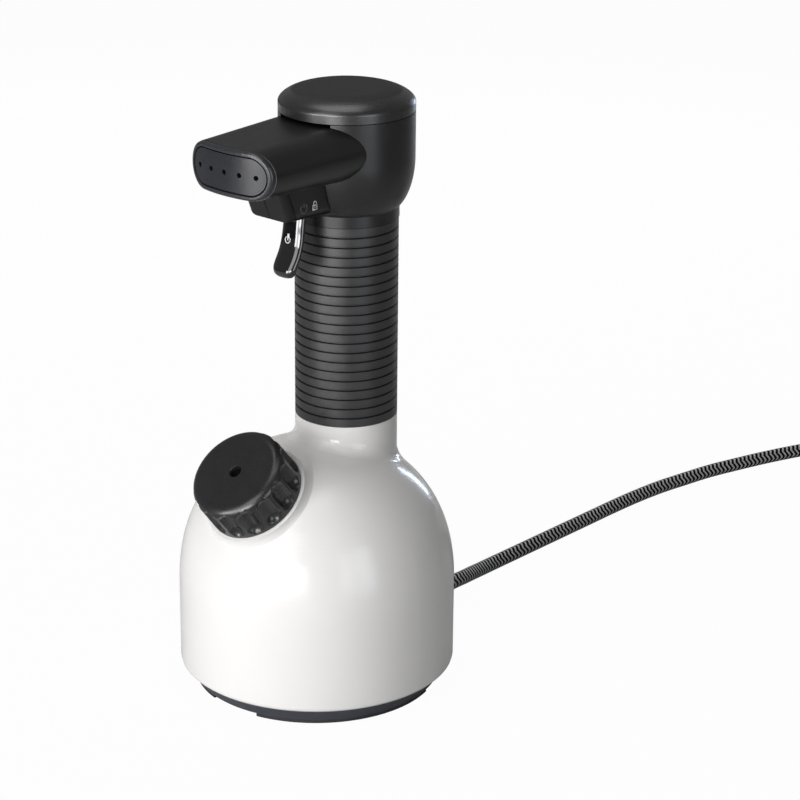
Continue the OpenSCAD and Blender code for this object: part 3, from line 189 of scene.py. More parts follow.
grip_rubber = finish(
    "ribbed_grip_rubber", (0.005, 0.005, 0.0055), (0.34, 0.43), vary=0.14, vary_scale=90,
    grain=2100, height=0.025, ior=1.8,
)
lead_rubber = finish(
    "inner_lead_rubber", (0.03, 0.03, 0.03), (0.55, 0.7), vary=0.15, grain=1400, height=0.03,
)
relief_rubber = finish(
    "strain_relief_rubber", (0.018, 0.018, 0.019), (0.5, 0.62), vary=0.15, grain=1700, height=0.03,
)
tie_rubber = finish(
    "cord_tie_rubber", (0.016, 0.016, 0.018), (0.55, 0.68), vary=0.15, grain=1800, height=0.04,
)
plug_rubber = finish(
    "mains_plug_moulding", (0.018, 0.018, 0.019), (0.42, 0.55), vary=0.12, grain=2000, height=0.03,
)
seal_rubber = finish(
    "red_silicone_seal", (0.34, 0.035, 0.025), (0.45, 0.6), vary=0.1, grain=1200, height=0.02,
)
boiler_steel = finish(
    "drawn_boiler_steel", (0.60, 0.60, 0.61), (0.24, 0.38), vary=0.06, vary_scale=30,
    grain=420, height=0.006, stretch=(1, 1, 9), metallic=1.0,
)
screw_steel = finish(
    "zinc_plated_screw", (0.58, 0.58, 0.56), (0.26, 0.4), vary=0.1, vary_scale=300, metallic=1.0,
)
spring_steel = finish(
    "spring_wire", (0.56, 0.56, 0.58), (0.2, 0.34), vary=0.08, vary_scale=500, metallic=1.0,
)
tube_steel = finish(
    "drawn_tube_steel", (0.62, 0.62, 0.63), (0.22, 0.34), vary=0.06, grain=900, height=0.005,
    stretch=(6, 6, 1), metallic=1.0,
)
cast_aluminium = finish(
    "cast_aluminium", (0.62, 0.63, 0.64), (0.42, 0.6), vary=0.1, vary_scale=120, grain=900,
    height=0.06, metallic=1.0,
)
heater_steel = finish(
    "heat_tinted_tube", (0.30, 0.27, 0.25), (0.3, 0.5), vary=0.2, vary_scale=90, metallic=1.0,
    worn=(0.36, 0.31, 0.40),
)
turned_brass = finish(
    "turned_brass", (0.66, 0.48, 0.20), (0.22, 0.36), vary=0.08, vary_scale=110, grain=700,
    height=0.006, metallic=1.0, worn=(0.58, 0.38, 0.16),
)
blade_metal = finish(
    "plated_blades", (0.72, 0.66, 0.52), (0.2, 0.32), vary=0.06, vary_scale=240, grain=1500,
    height=0.005, stretch=(1, 8, 1), metallic=1.0,
)
ceramic = finish(
    "ivory_moulding", (0.74, 0.70, 0.60), (0.4, 0.55), vary=0.05, vary_scale=200, grain=1600,
)
switch_brown = finish(
    "switch_housing", (0.10, 0.075, 0.06), (0.4, 0.55), vary=0.12, vary_scale=200, grain=2200,
)
plunger_red = finish(
    "plunger_moulding", (0.42, 0.03, 0.025), (0.3, 0.42), vary=0.08, vary_scale=400,
)
winding_red = finish(
    "potted_winding", (0.24, 0.035, 0.03), (0.28, 0.42), vary=0.12, vary_scale=120, grain=700,
    height=0.03, stretch=(1, 1, 12),
)
felt = finish(
    "insulation_felt", (0.66, 0.62, 0.50), (0.8, 0.95), vary=0.14, vary_scale=240, grain=900,
    height=0.35, stretch=(1, 1, 2.2), sheen=0.3,
)


def board_finish():
    """Green lacquer over a pattern of tracks."""
    material = finish(
        "board_lacquer", (0.010, 0.085, 0.035), (0.22, 0.34), vary=0.06, vary_scale=500, coat=0.3,
    )
    tree = material.node_tree
    shader = tree.nodes["Principled BSDF"]
    where = add(tree, "ShaderNodeTexCoord").outputs["Object"]
    tracks = add(tree, "ShaderNodeTexBrick")
    tracks.inputs["Scale"].default_value = 330
    tracks.inputs["Mortar Size"].default_value = 0.035
    tracks.inputs["Color1"].default_value = (0.010, 0.085, 0.035, 1)
    tracks.inputs["Color2"].default_value = (0.013, 0.100, 0.042, 1)
    tracks.inputs["Mortar"].default_value = (0.030, 0.190, 0.075, 1)
    link(tree, where, tracks.inputs["Vector"])
    link(tree, tracks.outputs["Color"], shader.inputs["Base Color"])
    return material


# The braid: strands round the cord, lean and length of a row, soft edge of the pale strand

BRAID_STRANDS = 8
BRAID_LEAN = 0.6
BRAID_ROW = 2.81
STRAND_EDGE = (0.27, 0.32)
WEAVE_DEPTH = 0.25


def braid_finish(name):
    """A herringbone braid on the cord's own UV map: u once round, v in rows along."""
    material = bpy.data.materials.new(name)
    material.use_nodes = True
    tree = material.node_tree
    shader = tree.nodes["Principled BSDF"]
    shader.inputs["IOR"].default_value = 1.2
    uv = add(tree, "ShaderNodeUVMap", uv_map="cord_map")
    parts = add(tree, "ShaderNodeSeparateXYZ")
    link(tree, uv.outputs["UV"], parts.inputs["Vector"])

    def math_node(operation, *values):
        node = add(tree, "ShaderNodeMath", operation=operation)
        for slot, value in enumerate(values):
            if isinstance(value, (int, float)):
                node.inputs[slot].default_value = value
            else:
                link(tree, value, node.inputs[slot])
        return node.outputs[0]

    round_way = math_node("MULTIPLY", parts.outputs["X"], BRAID_STRANDS)
    slant = math_node("PINGPONG", round_way, 1.0)
    row = math_node("ADD", parts.outputs["Y"], math_node("MULTIPLY", slant, BRAID_LEAN))
    phase = math_node("FRACT", row)
    ridge = math_node("ABSOLUTE", math_node("SUBTRACT", phase, 0.5))
    stripe = spread(tree, ridge, 0, 1, start=STRAND_EDGE[0], end=STRAND_EDGE[1])
    where = add(tree, "ShaderNodeTexCoord").outputs["Object"]
    fleck = noise(tree, where, 2600, detail=2)
    pale = blend_colour(tree, spread(tree, fleck, 0, 1), (0.36, 0.36, 0.37), (0.60, 0.60, 0.61))
    mix = add(tree, "ShaderNodeMix", data_type="RGBA")
    mix.inputs[6].default_value = (0.0012, 0.0012, 0.0015, 1)
    link(tree, stripe, mix.inputs[0])
    link(tree, pale, mix.inputs[7])
    link(tree, mix.outputs[2], shader.inputs["Base Color"])
    worn = noise(tree, where, 900, detail=3)
    link(tree, spread(tree, worn, 0.55, 0.78), shader.inputs["Roughness"])
    seam = math_node("ABSOLUTE", math_node("SUBTRACT", math_node("FRACT", round_way), 0.5))
    relief = math_node(
        "SUBTRACT", math_node("MULTIPLY", stripe, -0.6), math_node("MULTIPLY", seam, seam),
    )
    roughen(tree, shader, relief, 0.7, WEAVE_DEPTH)
    return material


def mark_finish(name, colour):
    """Pad-printed ink, a little uneven."""
    return finish(name, colour, (0.4, 0.55), vary=0.05, vary_scale=900, grain=3000, height=0.004)


# The lid's grain and the top disc's painted lighter tone stop a little below its top, over a soft
# edge

LID_GRAIN_DROP = 1.4
LID_GRAIN_FADE = 0.3


def lid_finish(lid_top):
    """The lid's top disc with a fine grain, its colour painted lighter than the shoulder to stand
    in for the light the flat top catches, with a smoother satin shoulder below it.
    """
    material = finish(
        "lid_top_and_shoulder", (0.0085, 0.0085, 0.0095), (0.25, 0.31), vary=0.1, vary_scale=45,
        grain=2600, height=0.010, coat_rough=0.36,
    )
    tree = material.node_tree
    shader = tree.nodes["Principled BSDF"]
    where = add(tree, "ShaderNodeTexCoord").outputs["Object"]
    parts = add(tree, "ShaderNodeSeparateXYZ")
    link(tree, where, parts.inputs["Vector"])
    edge_height = lid_top - LID_GRAIN_DROP * MM
    top = spread(
        tree, parts.outputs["Z"], 0, 1,
        start=edge_height - LID_GRAIN_FADE * MM, end=edge_height + LID_GRAIN_FADE * MM,
    )
    shader.inputs["Coat IOR"].default_value = 1.8
    link(tree, spread(tree, top, 0.55, 0, start=0, end=1), shader.inputs["Coat Weight"])
    colour = add(tree, "ShaderNodeMix", data_type="RGBA")
    link(tree, top, colour.inputs[0])
    link(tree, shader.inputs["Base Color"].links[0].from_socket, colour.inputs[6])
    grain = noise(tree, where, 1400, detail=4)
    # The top disc's colour is lighter than the shoulder's: painted light for the flat top, over a
    # real fine grain
    top_grain_and_painted_light = blend_colour(tree, grain, (0.015, 0.015, 0.016), (0.021, 0.021, 0.022))
    link(tree, top_grain_and_painted_light, colour.inputs[7])
    link(tree, colour.outputs[2], shader.inputs["Base Color"])
    rough = add(tree, "ShaderNodeMix", data_type="FLOAT")
    link(tree, top, rough.inputs[0])
    link(tree, shader.inputs["Roughness"].links[0].from_socket, rough.inputs[2])
    link(tree, spread(tree, grain, 0.5, 0.6), rough.inputs[3])
    link(tree, rough.outputs[0], shader.inputs["Roughness"])
    return material


board_green = board_finish()
lid_black = lid_finish(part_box("head_lid")[1][2])
white_ink = mark_finish("white_ink", (0.82, 0.82, 0.82))
grey_ink = mark_finish("grey_ink", (0.12, 0.12, 0.125))
cord_braid = braid_finish("black_grey_braid")

node_finish = {
    "body_shell": gloss_white, "base": slate, "feet": foot_rubber, "base_screws": screw_steel,
    "boiler_lower": boiler_steel, "boiler_upper": boiler_steel, "carrier_ring": boiler_steel,
    "boiler_screws": screw_steel, "insulation_jacket": felt, "heater_plate": cast_aluminium,
    "heating_tube": heater_steel, "thermostat": switch_brown, "thermal_fuse": ceramic,
    "filler_neck": turned_brass, "filler_gasket": seal_rubber, "cap_knob": cap_black,
    "cap_plug": painted_vent_shade, "plug_seal": seal_rubber, "cap_spring": spring_steel,
    "valve_body": turned_brass, "valve_coil": winding_red, "steam_tube": tube_steel,
    "handle_tube": satin_black, "grip_sleeve": grip_rubber, "head_shell": satin_black,
    "head_lid": lid_black, "nozzle_shell": satin_black, "nozzle_rim": rim_black,
    "steam_plate": plate_black, "distributor": turned_brass, "pod_housing": pod_black,
    "side_button": satin_black, "button_pin": spring_steel, "button_switch": switch_brown,
    "trigger": gloss_black, "trigger_pin": spring_steel, "trigger_spring": spring_steel,
    "microswitch": switch_brown, "switch_plunger": plunger_red, "control_board": board_green,
    "signal_cable": lead_rubber, "terminal_block": ceramic, "cord_clamp": ceramic,
    "inner_lead": lead_rubber, "strain_relief": relief_rubber, "power_cord": cord_braid,
    "cord_coil": cord_braid, "cord_tie": tie_rubber, "mains_plug": plug_rubber,
    "plug_blades": blade_metal,
}
for name, piece in nodes.items():
    piece.data.materials.clear()
    piece.data.materials.append(node_finish[name])


# New pieces

SHARP_ANGLE = 40


def new_piece(name, mesh_maker, material, body):
    """A piece made from a bmesh, at the origin, riding on a body."""
    mesh = bpy.data.meshes.new(name)
    shape = bmesh.new()
    mesh_maker(shape)
    bmesh.ops.recalc_face_normals(shape, faces=shape.faces)
    shape.to_mesh(mesh)
    shape.free()
    mesh.materials.append(material)
    piece = bpy.data.objects.new(name, mesh)
    bpy.context.scene.collection.objects.link(piece)
    for face in mesh.polygons:
        face.use_smooth = True
    mesh.set_sharp_from_angle(angle=math.radians(SHARP_ANGLE))
    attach(piece, body)
    return piece


def thicken(piece, wall):
    """Gives a sheet its wall in millimetres, half to each side."""
    modifier = piece.modifiers.new("thickness", "SOLIDIFY")
    modifier.thickness = wall * MM
    modifier.offset = 0


def soften(piece, width, segments):
    """Rounds the edges by a width in millimetres."""
    modifier = piece.modifiers.new("edges", "BEVEL")
    modifier.width = width * MM
    modifier.segments = segments


def placed(place, degrees, axis):
    """A turn about an axis, then a move to a place."""
    return Matrix.Translation(place) @ Matrix.Rotation(math.radians(degrees), 4, axis)


# The cord: the CAD's own route, then a neat coil, then the plug

ROUTE = [
    (0, 86.6, 11.3), (0, 93, 11.3), (-1, 101, 10.6), (-3, 109, 9.1), (-5.5, 117, 7.4),
    (-8, 126, 5.6), (-10, 136, 4.2), (-11, 148, 3.5), (-11, 165, 3.5),
    (-11, 184, 3.5), (-11, 203, 3.5), (-11, 222, 3.5), (-11, 241, 3.5),
    (-10.5, 260, 3.5), (-9, 279, 3.5), (-6, 298, 3.5), (-2.5, 317, 3.5),
    (2.5, 335, 3.5), (8, 353, 3.5), (14.5, 371, 3.5), (22, 388.5, 3.5),
    (30.5, 405, 3.5),
]
TAIL = [(133, 384, 9.7), (133, 374, 9.8), (133, 365, 8.6), (133, 357, 8.5)]
CORD_D = 7
CORD_SIDES = 24
LINE_STEP = 4

# The coil: a turn shifts by one cord over its last three tenths. The fourth climbs there, and the
# turns above lie in the grooves of the lower ones and rise a little as they cross them.

COIL_AT = (84, 392)
COIL_START = 148.4
COIL_TURNS = 6.412
COIL_STEPS = 560
COIL_R = 52.5
UPPER_R = 35
CLIMBING_TURN = 3
CROSSING = 0.3
LAYER_Z = CORD_D / 2 + CORD_D * math.sin(math.radians(60))
CROSSING_RISE = 0.94

# The tie: its angle round the coil, how much it lifts the turns in it, and how fast that fades

TIE_TURN = 60
TIE_LIFT = 1.2
TIE_FADE = 2.2
STRAP_HALF_W = 6
STRAP_T = 1.1
STRAP_CORNER = 2.2
STRAP_EDGE = 0.3


def smooth_line(points, step):
    """Points a step apart on a smooth curve through the given ones."""
    ends = [2 * points[0] - points[1]] + points + [2 * points[-1] - points[-2]]
    line = []
    for a, b, c, d in zip(ends, ends[1:], ends[2:], ends[3:]):
        count = max(1, round((c - b).length / step))
        for i in range(count):
            t = i / count
            line.append(0.5 * (
                2 * b + (c - a) * t + (2 * a - 5 * b + 4 * c - d) * t ** 2
                + (3 * b - a - 3 * c + d) * t ** 3
            ))
    line.append(points[-1])
    return line


def through(stops, t):
    """Value at t of a smooth curve through evenly spread stops."""
    place = min(max(t, 0), 1) * (len(stops) - 1)
    i = min(int(place), len(stops) - 2)
    t = place - i
    a, b, c, d = (stops[min(max(k, 0), len(stops) - 1)] for k in (i - 1, i, i + 1, i + 2))
    return 0.5 * (
        2 * b + (c - a) * t + (2 * a - 5 * b + 4 * c - d) * t ** 2
        + (3 * b - a - 3 * c + d) * t ** 3
    )


def coil_point(turn):
    """A point of the coil: four turns on the floor going inwards, the rest on top going out."""
    level = int(turn)
    part = turn - level
    crossing = max(0.0, (part - 1 + CROSSING) / CROSSING)
    ease = crossing * crossing * (3 - 2 * crossing)
    if level < CLIMBING_TURN:
        r, z = COIL_R - CORD_D * level - CORD_D * ease, CORD_D / 2
    elif level == CLIMBING_TURN:
        r = through([31.5, 30.9, 31.6, 33.3, UPPER_R], crossing)
        z = through([CORD_D / 2, 6.6, 9.6, 10.4, LAYER_Z], crossing)
    else:
        r = UPPER_R + CORD_D * (level - CLIMBING_TURN - 1) + CORD_D * ease
        z = LAYER_Z + CROSSING_RISE * math.sin(2 * math.pi * ease) ** 2
    angle = COIL_START - 360 * turn
    away = abs((angle - TIE_TURN + 180) % 360 - 180)
    z += TIE_LIFT * max(0.0, math.cos(math.radians(min(90, away * TIE_FADE)))) ** 2
    return Vector((
        COIL_AT[0] + r * math.cos(math.radians(angle)),
        COIL_AT[1] + r * math.sin(math.radians(angle)), z,
    ))


coil_line = [coil_point(COIL_TURNS * i / COIL_STEPS) for i in range(COIL_STEPS + 1)]
route_line = smooth_line([Vector(p) for p in ROUTE] + [coil_line[0]], LINE_STEP)
tail_line = smooth_line([coil_line[-1]] + [Vector(p) for p in TAIL], LINE_STEP)
cord_line = [p * MM for p in route_line[:-1] + coil_line[:-1] + tail_line]


def swept(shape, line, radius, sides, rows, map_name):
    """A round bar along a line, with u once round and v in rows of a given length."""
    layer = shape.loops.layers.uv.new(map_name)
    rings = []
    lengths = [0.0]
    for a, b in zip(line, line[1:]):
        lengths.append(lengths[-1] + (b - a).length)
    for i, place in enumerate(line):
        along = (line[min(i + 1, len(line) - 1)] - line[max(i - 1, 0)]).normalized()
        side = along.cross(Vector((0, 0, 1))).normalized()
        rise = side.cross(along)
        rings.append([
            shape.verts.new(place + radius * (
                math.cos(2 * math.pi * k / sides) * side + math.sin(2 * math.pi * k / sides) * rise
            ))
            for k in range(sides)
        ])
    for i in range(len(line) - 1):
        for k in range(sides):
            n = (k + 1) % sides
            face = shape.faces.new((rings[i][k], rings[i][n], rings[i + 1][n], rings[i + 1][k]))
            corners = ((k, i), (k + 1, i), (k + 1, i + 1), (k, i + 1))
            for loop, (u, v) in zip(face.loops, corners):
                loop[layer].uv = (u / sides, lengths[v] / rows)
    for ring in (rings[0], rings[-1]):
        shape.faces.new(ring)


mains_cord = new_piece(
    "mains_cord",
    lambda shape: swept(shape, cord_line, CORD_D / 2 * MM, CORD_SIDES, BRAID_ROW * MM, "cord_map"),
    cord_braid, "housing",
)
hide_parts("power_cord", "cord_coil")


def strap(shape):
    """A flat strap closed round the bundle of turns."""
    half = STRAP_HALF_W * MM
    loop = [(27.6, 0.7), (27.6, 7.6), (30.4, 14.9), (53.0, 14.9), (56.4, 7.6), (56.4, 0.7)]
    turn = placed((COIL_AT[0] * MM, COIL_AT[1] * MM, 0), TIE_TURN, "Z")
    corners = [shape.verts.new((r * MM, -half, z * MM)) for r, z in loop]
    for a, b in zip(corners, corners[1:] + corners[:1]):
        shape.edges.new((a, b))
    bmesh.ops.bevel(
        shape, geom=corners, offset=STRAP_CORNER * MM, segments=5, profile=0.5,
        affect="VERTICES", material=-1,
    )
    made = bmesh.ops.extrude_edge_only(shape, edges=shape.edges[:])
    moved = [v for v in made["geom"] if isinstance(v, bmesh.types.BMVert)]
    bmesh.ops.translate(shape, verts=moved, vec=(0, 2 * half, 0))
    bmesh.ops.recalc_face_normals(shape, faces=shape.faces)
    bmesh.ops.transform(shape, matrix=turn, verts=shape.verts)


tie = new_piece("cord_tie_strap", strap, tie_rubber, "housing")
thicken(tie, STRAP_T)
soften(tie, STRAP_EDGE, 2)
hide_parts("cord_tie")

# The trigger: a high-gloss blade with softened sides and a rounded tip, on its hub

PIVOT_Y = -14.6
PIVOT_Z = 226.9
BLADE_SIDE = 3.0
HUB_R = 3.1
HUB_W = 9.1
HUB_X = 1.55
HUB_EDGE = 0.4
ARM = (4.8, 7.2, 2.4)
ARM_AT = (0, PIVOT_Y + 3.6, PIVOT_Z + 0.1)


def trigger_blade(shape):
    """Sections from the pivot down to the tip: front, back, height at each, and half the width."""
    sections = [
        (1.6, -3.0, -1.2, -1.2, 6.1), (0.6, -3.7, -4.9, -5.2, 6.1), (1.4, -3.75, -8, -8.2, 6.2),
        (1.9, -3.1, -12, -12.2, 6.3), (2.5, -2.2, -16.5, -16.8, 6.4), (3.5, -1.1, -20.5, -21, 6.5),
        (5.2, 0.6, -24, -24.8, 6.6), (7.5, 2.4, -27.4, -28.2, 6.6), (8.5, 3.0, -29.9, -30.9, 6.2),
        (7.5, 3.9, -33.0, -33.0, 4.6),
    ]
    rims = []
    for front, back, front_z, back_z, half in sections:
        soft = min(BLADE_SIDE, half * 0.5)
        lean = (front_z - back_z) / (front - back)
        ring = [
            (-half + soft, front), (0, front), (half - soft, front),
            (half - 0.25 * soft, front - 0.3 * soft), (half, (front + back) / 2),
            (half - 0.25 * soft, back + 0.3 * soft), (half - soft, back), (0, back),
            (-half + soft, back), (-half + 0.25 * soft, back + 0.3 * soft),
            (-half, (front + back) / 2), (-half + 0.25 * soft, front - 0.3 * soft),
        ]
        corners = [
            shape.verts.new((
                x * MM, (PIVOT_Y - y) * MM, (PIVOT_Z + front_z + lean * (y - front)) * MM,
            ))
            for x, y in ring
        ]
        rims.append([shape.edges.new(pair) for pair in zip(corners, corners[1:] + corners[:1])])
    for upper, lower in zip(rims, rims[1:]):
        bmesh.ops.bridge_loops(shape, edges=upper + lower)
    bmesh.ops.holes_fill(shape, edges=rims[0] + rims[-1], sides=0)


trigger_piece = new_piece("trigger_blade", trigger_blade, gloss_black, "trigger")
rounding = trigger_piece.modifiers.new("smooth_form", "SUBSURF")
rounding.levels = 3
rounding.render_levels = 3


def trigger_hub(shape):
    """The hub on the pin, with the arm that works the switch."""
    bmesh.ops.create_cone(
        shape, cap_ends=True, segments=48, radius1=HUB_R * MM, radius2=HUB_R * MM,
        depth=HUB_W * MM, matrix=placed((HUB_X * MM, PIVOT_Y * MM, PIVOT_Z * MM), 90, "Y"),
    )
    arm = (
        Matrix.Translation([c * MM for c in ARM_AT])
        @ Matrix.Diagonal([c * MM for c in ARM] + [1])
    )
    bmesh.ops.create_cube(shape, size=1, matrix=arm)


hub = new_piece("trigger_hub", trigger_hub, satin_black, "trigger")
soften(hub, HUB_EDGE, 3)
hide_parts("trigger")

# The filler cap: a turned blank with a soft shoulder and scooped finger grips

CAP_SEAT = (0, -39.6, 98.926)
CAP_TILT = 40.2
CAP_R = 22.55
CAP_TAPER = 0.35
CAP_TOP_R = 17.3
CAP_H = 18.8
CAP_ROOF = 14.6
SIDE_STEPS = 30
SHOULDER_STEP = 8
VENT_R = 2.7
VENT_MOUTH_R = 2.95
VENT_EDGE = 0.3
COLUMNS_A_GRIP = 16
SHOULDER_H = 3.8
SKIRT_R = 19.35
SLEEVE_R = 13.4
SLEEVE_T = 2.8
SLEEVE_FOOT = 1.5
GRIPS = 15
GRIP_PHASE = 0.8
GRIP_HALF_W = 3.55
GRIP_DEPTH = 2.3
GRIP_FULLNESS = 0.7
GRIP_TOP = 17.0
GRIP_FOOT = 1.5


def filler_cap(shape):
    """Spins the wall's section, then presses each finger grip in as a round-ended scoop."""
    side = [
        (CAP_R - CAP_TAPER * k / SIDE_STEPS, (CAP_H - SHOULDER_H) * k / SIDE_STEPS)
        for k in range(SIDE_STEPS + 1)
    ]
    top_of_side = CAP_R - CAP_TAPER
    shoulder = [
        (CAP_TOP_R + (top_of_side - CAP_TOP_R) * math.cos(math.radians(a)),
         CAP_H - SHOULDER_H + SHOULDER_H * math.sin(math.radians(a)))
        for a in range(SHOULDER_STEP, 91, SHOULDER_STEP)
    ]
    wall = [(SKIRT_R, 0)] + side + shoulder + [
        (CAP_TOP_R - 1, CAP_H), (9, CAP_H), (VENT_MOUTH_R, CAP_H),
        (VENT_R, CAP_H - VENT_EDGE), (VENT_R, CAP_ROOF),
        (SLEEVE_R, CAP_ROOF), (SLEEVE_R, SLEEVE_FOOT),
        (SLEEVE_R + SLEEVE_T, SLEEVE_FOOT), (SLEEVE_R + SLEEVE_T, CAP_ROOF), (SKIRT_R, CAP_ROOF),
    ]
    corners = [shape.verts.new((r * MM, 0, z * MM)) for r, z in wall]
    rim = [shape.edges.new(pair) for pair in zip(corners, corners[1:] + corners[:1])]
    bmesh.ops.spin(
        shape, geom=corners + rim, cent=(0, 0, 0), axis=(0, 0, 1), angle=2 * math.pi,
        steps=GRIPS * COLUMNS_A_GRIP, use_merge=True,
    )
    bmesh.ops.remove_doubles(shape, verts=shape.verts, dist=0.005 * MM)
    pitch = 2 * math.pi / GRIPS
    for corner in shape.verts:
        r = math.hypot(corner.co.x, corner.co.y) / MM
        z = corner.co.z / MM
        if r < SKIRT_R + 0.5:
            continue
        turn = math.atan2(corner.co.y, corner.co.x) - math.radians(GRIP_PHASE)
        across = ((turn + pitch / 2) % pitch - pitch / 2) * r
        beyond = max(0.0, z - (GRIP_TOP - GRIP_HALF_W), GRIP_FOOT + GRIP_HALF_W - z)
        reach = math.hypot(across, beyond) / GRIP_HALF_W
        if reach < 1:
            less = (r - GRIP_DEPTH * (1 - reach * reach) ** GRIP_FULLNESS) / r
            corner.co.x *= less
            corner.co.y *= less
    seat = placed(Vector(CAP_SEAT) * MM, CAP_TILT, "X")
    bmesh.ops.transform(shape, verts=shape.verts, matrix=seat)


cap = new_piece("filler_cap", filler_cap, cap_black, "cap_turn")
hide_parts("cap_knob")

# Printed symbols: power and lock on the side button, steam on the trigger

INK_LIFT = 0.02
INK_T = 0.06
DROP_FROM = 10
OPEN_RING = (125, 290)  # where it starts and how far it goes round, in degrees


def arc_mark(shape, centre, inner, outer, start, sweep, steps=28):
    """Part of a flat ring, with its angles in degrees."""
    start = math.radians(start)
    ends = [
        shape.verts.new((centre[0] + r * math.cos(start), centre[1] + r * math.sin(start), 0))
        for r in (inner, outer)
    ]
    edge_geom = ends + [shape.edges.new(ends)]
    bmesh.ops.spin(
        shape, geom=edge_geom, cent=(*centre, 0), axis=(0, 0, 1), angle=math.radians(sweep),
        steps=steps,
    )


def bar_mark(shape, centre, width, height):
    """A flat bar, square to the mark."""
    place = Matrix.Translation((*centre, 0)) @ Matrix.Diagonal((width / 2, height / 2, 1, 1))
    bmesh.ops.create_grid(shape, x_segments=2, y_segments=3, size=1, matrix=place)


def power_mark(shape):
    arc_mark(shape, (0, 0), 1.7, 2.2, *OPEN_RING)
    bar_mark(shape, (0, 1.5), 0.5, 2.0)


def lock_mark(shape):
    bar_mark(shape, (0, -1.85), 3.0, 0.5)
    bar_mark(shape, (0, 0.15), 3.0, 0.5)
    bar_mark(shape, (-1.25, -0.85), 0.5, 1.6)
    bar_mark(shape, (1.25, -0.85), 0.5, 1.6)
    bar_mark(shape, (0, -0.85), 0.55, 0.8)
    arc_mark(shape, (0, 0.95), 0.65, 1.05, 0, 180, 16)
    bar_mark(shape, (-0.85, 0.65), 0.4, 0.6)
    bar_mark(shape, (0.85, 0.65), 0.4, 0.6)


def steam_mark(shape):
    bar_mark(shape, (0.1, 1.1), 1.2, 2.1)
    bar_mark(shape, (0.1, -0.35), 0.6, 1.0)
    arc_mark(shape, (0, -0.55), 1.2, 1.65, *OPEN_RING)


def printed(name, mark, centre, across, upward, ink, body, carrier=None):
    """A mark printed on a face: its plane is turned to the face, or dropped on to a carrier."""
    across, upward = Vector(across).normalized(), Vector(upward).normalized()
    outward = across.cross(upward)
    turn = Matrix((across, upward, outward)).transposed().to_4x4()

    def shaped(shape):
        mark(shape)
        bmesh.ops.scale(shape, verts=shape.verts, vec=(MM, MM, MM))
        bmesh.ops.transform(
            shape, verts=shape.verts, matrix=Matrix.Translation(Vector(centre) * MM) @ turn)
        if carrier is not None:
            bpy.context.view_layer.update()
            skin = BVHTree.FromObject(carrier, bpy.context.evaluated_depsgraph_get())
            for corner in shape.verts:
                landed = skin.ray_cast(corner.co + outward * DROP_FROM * MM, -outward)[0]
                if landed is not None:
                    corner.co = landed + outward * INK_LIFT * MM

    piece = new_piece(name, shaped, ink, body)
    thicken(piece, INK_T)


button_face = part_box("side_button")[1][0] / MM + INK_LIFT
printed("power_symbol", power_mark, (button_face, -21.0, 227.4), (0, 1, 0), (0, 0, 1),
        grey_ink, "side_button")
printed("lock_symbol", lock_mark, (button_face, -14.2, 227.5), (0, 1, 0), (0, 0, 1),
        white_ink, "side_button")
printed("steam_symbol", steam_mark, (-0.8, -17.0, 210.7), (1, 0, 0), (0, 0.163, 0.987),
        white_ink, "trigger", carrier=trigger_piece)

# Floor, backdrop and lights

# What the camera sees of the floor is nearly white, and the room is dim but for what is mirrored

FLOOR_WHITE = 0.975
SKY_LIGHT = 0.08
SKY_MIRRORED = 0.22

floor_mesh = bpy.data.meshes.new("studio_floor")
floor_shape = bmesh.new()
bmesh.ops.create_grid(floor_shape, x_segments=1, y_segments=1, size=6)
floor_shape.to_mesh(floor_mesh)
floor_shape.free()
floor = bpy.data.objects.new("studio_floor", floor_mesh)
bpy.context.scene.collection.objects.link(floor)
floor_paint = bpy.data.materials.new("pale_floor")
floor_paint.use_nodes = True
tree = floor_paint.node_tree
tree.nodes.remove(tree.nodes["Principled BSDF"])
output = tree.nodes["Material Output"]
paper = add(tree, "ShaderNodeBsdfDiffuse")
paper.inputs["Color"].default_value = (0.5, 0.5, 0.5, 1)
glow = add(tree, "ShaderNodeEmission")
glow.inputs["Strength"].default_value = 1.0
ray = add(tree, "ShaderNodeLightPath")
seen = add(tree, "ShaderNodeMath", operation="MAXIMUM")
link(tree, ray.outputs["Is Camera Ray"], seen.inputs[0])
link(tree, ray.outputs["Is Transmission Ray"], seen.inputs[1])
share = add(tree, "ShaderNodeMath", operation="MULTIPLY")
link(tree, seen.outputs[0], share.inputs[0])
share.inputs[1].default_value = FLOOR_WHITE
mixed = add(tree, "ShaderNodeMixShader")
link(tree, share.outputs[0], mixed.inputs[0])
link(tree, paper.outputs[0], mixed.inputs[1])
link(tree, glow.outputs[0], mixed.inputs[2])
link(tree, mixed.outputs[0], output.inputs["Surface"])
floor_mesh.materials.append(floor_paint)

world = bpy.data.worlds.new("studio")
bpy.context.scene.world = world
world.use_nodes = True
sky = world.node_tree
plain = sky.nodes["Background"]
plain.inputs["Color"].default_value = (0.84, 0.84, 0.85, 1)
white = add(sky, "ShaderNodeBackground")
white.inputs["Color"].default_value = (1, 1, 1, 1)
white.inputs["Strength"].default_value = 1.0
sky_ray = add(sky, "ShaderNodeLightPath")
shine = add(sky, "ShaderNodeMapRange")
link(sky, sky_ray.outputs["Is Glossy Ray"], shine.inputs["Value"])
shine.inputs["To Min"].default_value = SKY_LIGHT
shine.inputs["To Max"].default_value = SKY_MIRRORED
link(sky, shine.outputs["Result"], plain.inputs["Strength"])
sky_mix = add(sky, "ShaderNodeMixShader")
link(sky, sky_ray.outputs["Is Camera Ray"], sky_mix.inputs[0])
link(sky, plain.outputs[0], sky_mix.inputs[1])
link(sky, white.outputs[0], sky_mix.inputs[2])
link(sky, sky_mix.outputs[0], sky.nodes["World Output"].inputs["Surface"])


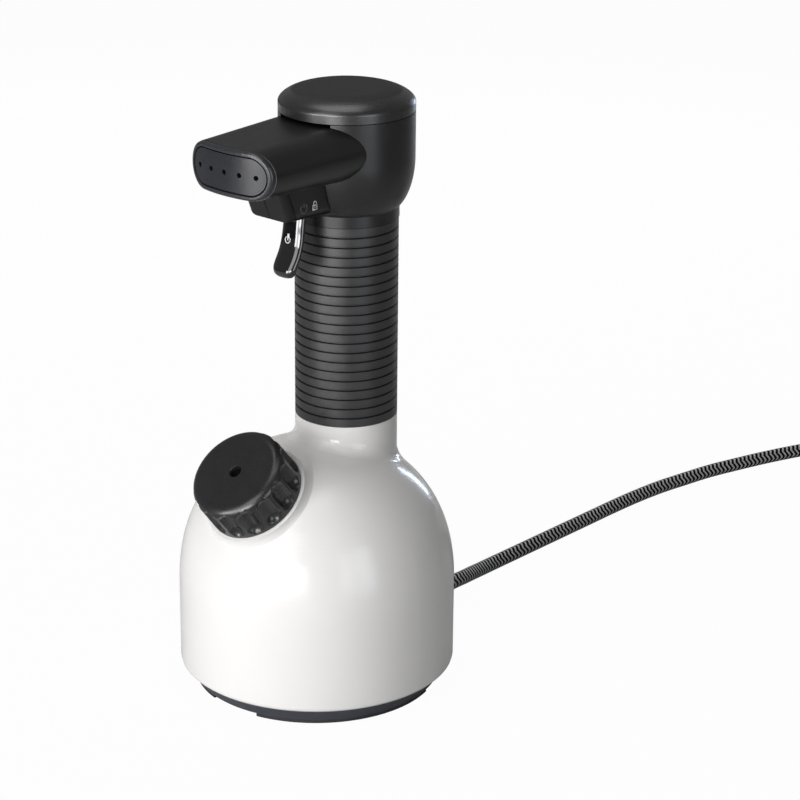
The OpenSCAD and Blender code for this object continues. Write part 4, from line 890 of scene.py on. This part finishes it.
def softbox(name, place, target, width, height, power, colour=(1, 1, 1), mirrored=True,
            spread_light=True):
    """A soft lamp that the camera doesn't see, and that may be only mirrored or only light."""
    lamp = bpy.data.lights.new(name, "AREA")
    lamp.shape = "RECTANGLE"
    lamp.size = width
    lamp.size_y = height
    lamp.energy = power
    lamp.color = colour
    holder = bpy.data.objects.new(name, lamp)
    bpy.context.scene.collection.objects.link(holder)
    aim = (Vector(target) - Vector(place)).to_track_quat("-Z", "Y")
    holder.visible_camera = False
    holder.visible_glossy = mirrored
    holder.visible_diffuse = spread_light
    holder.matrix_world = Matrix.Translation(place) @ aim.to_matrix().to_4x4()


softbox("front_softbox", (0.18, -1.45, 0.78), (0, 0, 0.16), 0.95, 1.4, 11.5, (1.0, 0.99, 0.98))
softbox("low_front_softbox", (0.13, -0.89, 0.19), (0, 0, 0.19), 0.95, 0.36, 3.4, (0.99, 0.99, 1.0))
softbox("low_left_strip", (-0.20, -0.88, 0.19), (0, 0, 0.19), 0.2, 0.34, 1.6, (0.98, 0.98, 1.0))
softbox("side_softbox", (1.12, -0.44, 0.34), (0, 0, 0.22), 0.24, 0.62, 1.3, (0.97, 0.98, 1.0))
softbox("lid_gleam", (0.40, -1.05, 0.30), (0, 0, 0.26),
        0.42, 0.26, 2.4, (1.0, 1.0, 1.0), spread_light=False)
softbox("side_gleam", (1.12, -0.12, 0.30), (0, 0, 0.22),
        0.30, 0.8, 2.4, (0.88, 0.93, 1.0), spread_light=False)
softbox("back_strip", (-0.25, 1.17, 0.22), (0, 0, 0.22),
        0.09, 0.42, 1.3, (0.72, 0.84, 1.0), spread_light=False)
softbox("rear_softbox", (-0.95, 0.45, 0.60), (0, 0, 0.15),
        0.7, 0.9, 4.0, (1.0, 0.99, 0.98), mirrored=False)
softbox("back_softbox", (-0.42, 0.9, 0.60), (0, 0, 0.15),
        0.7, 0.9, 3.4, (1.0, 0.99, 0.98), mirrored=False)
softbox("top_softbox", (-0.1, -0.1, 1.5), (0, 0, 0.1), 0.9, 0.9, 4.5)

bpy.context.scene.view_settings.view_transform = "Standard"
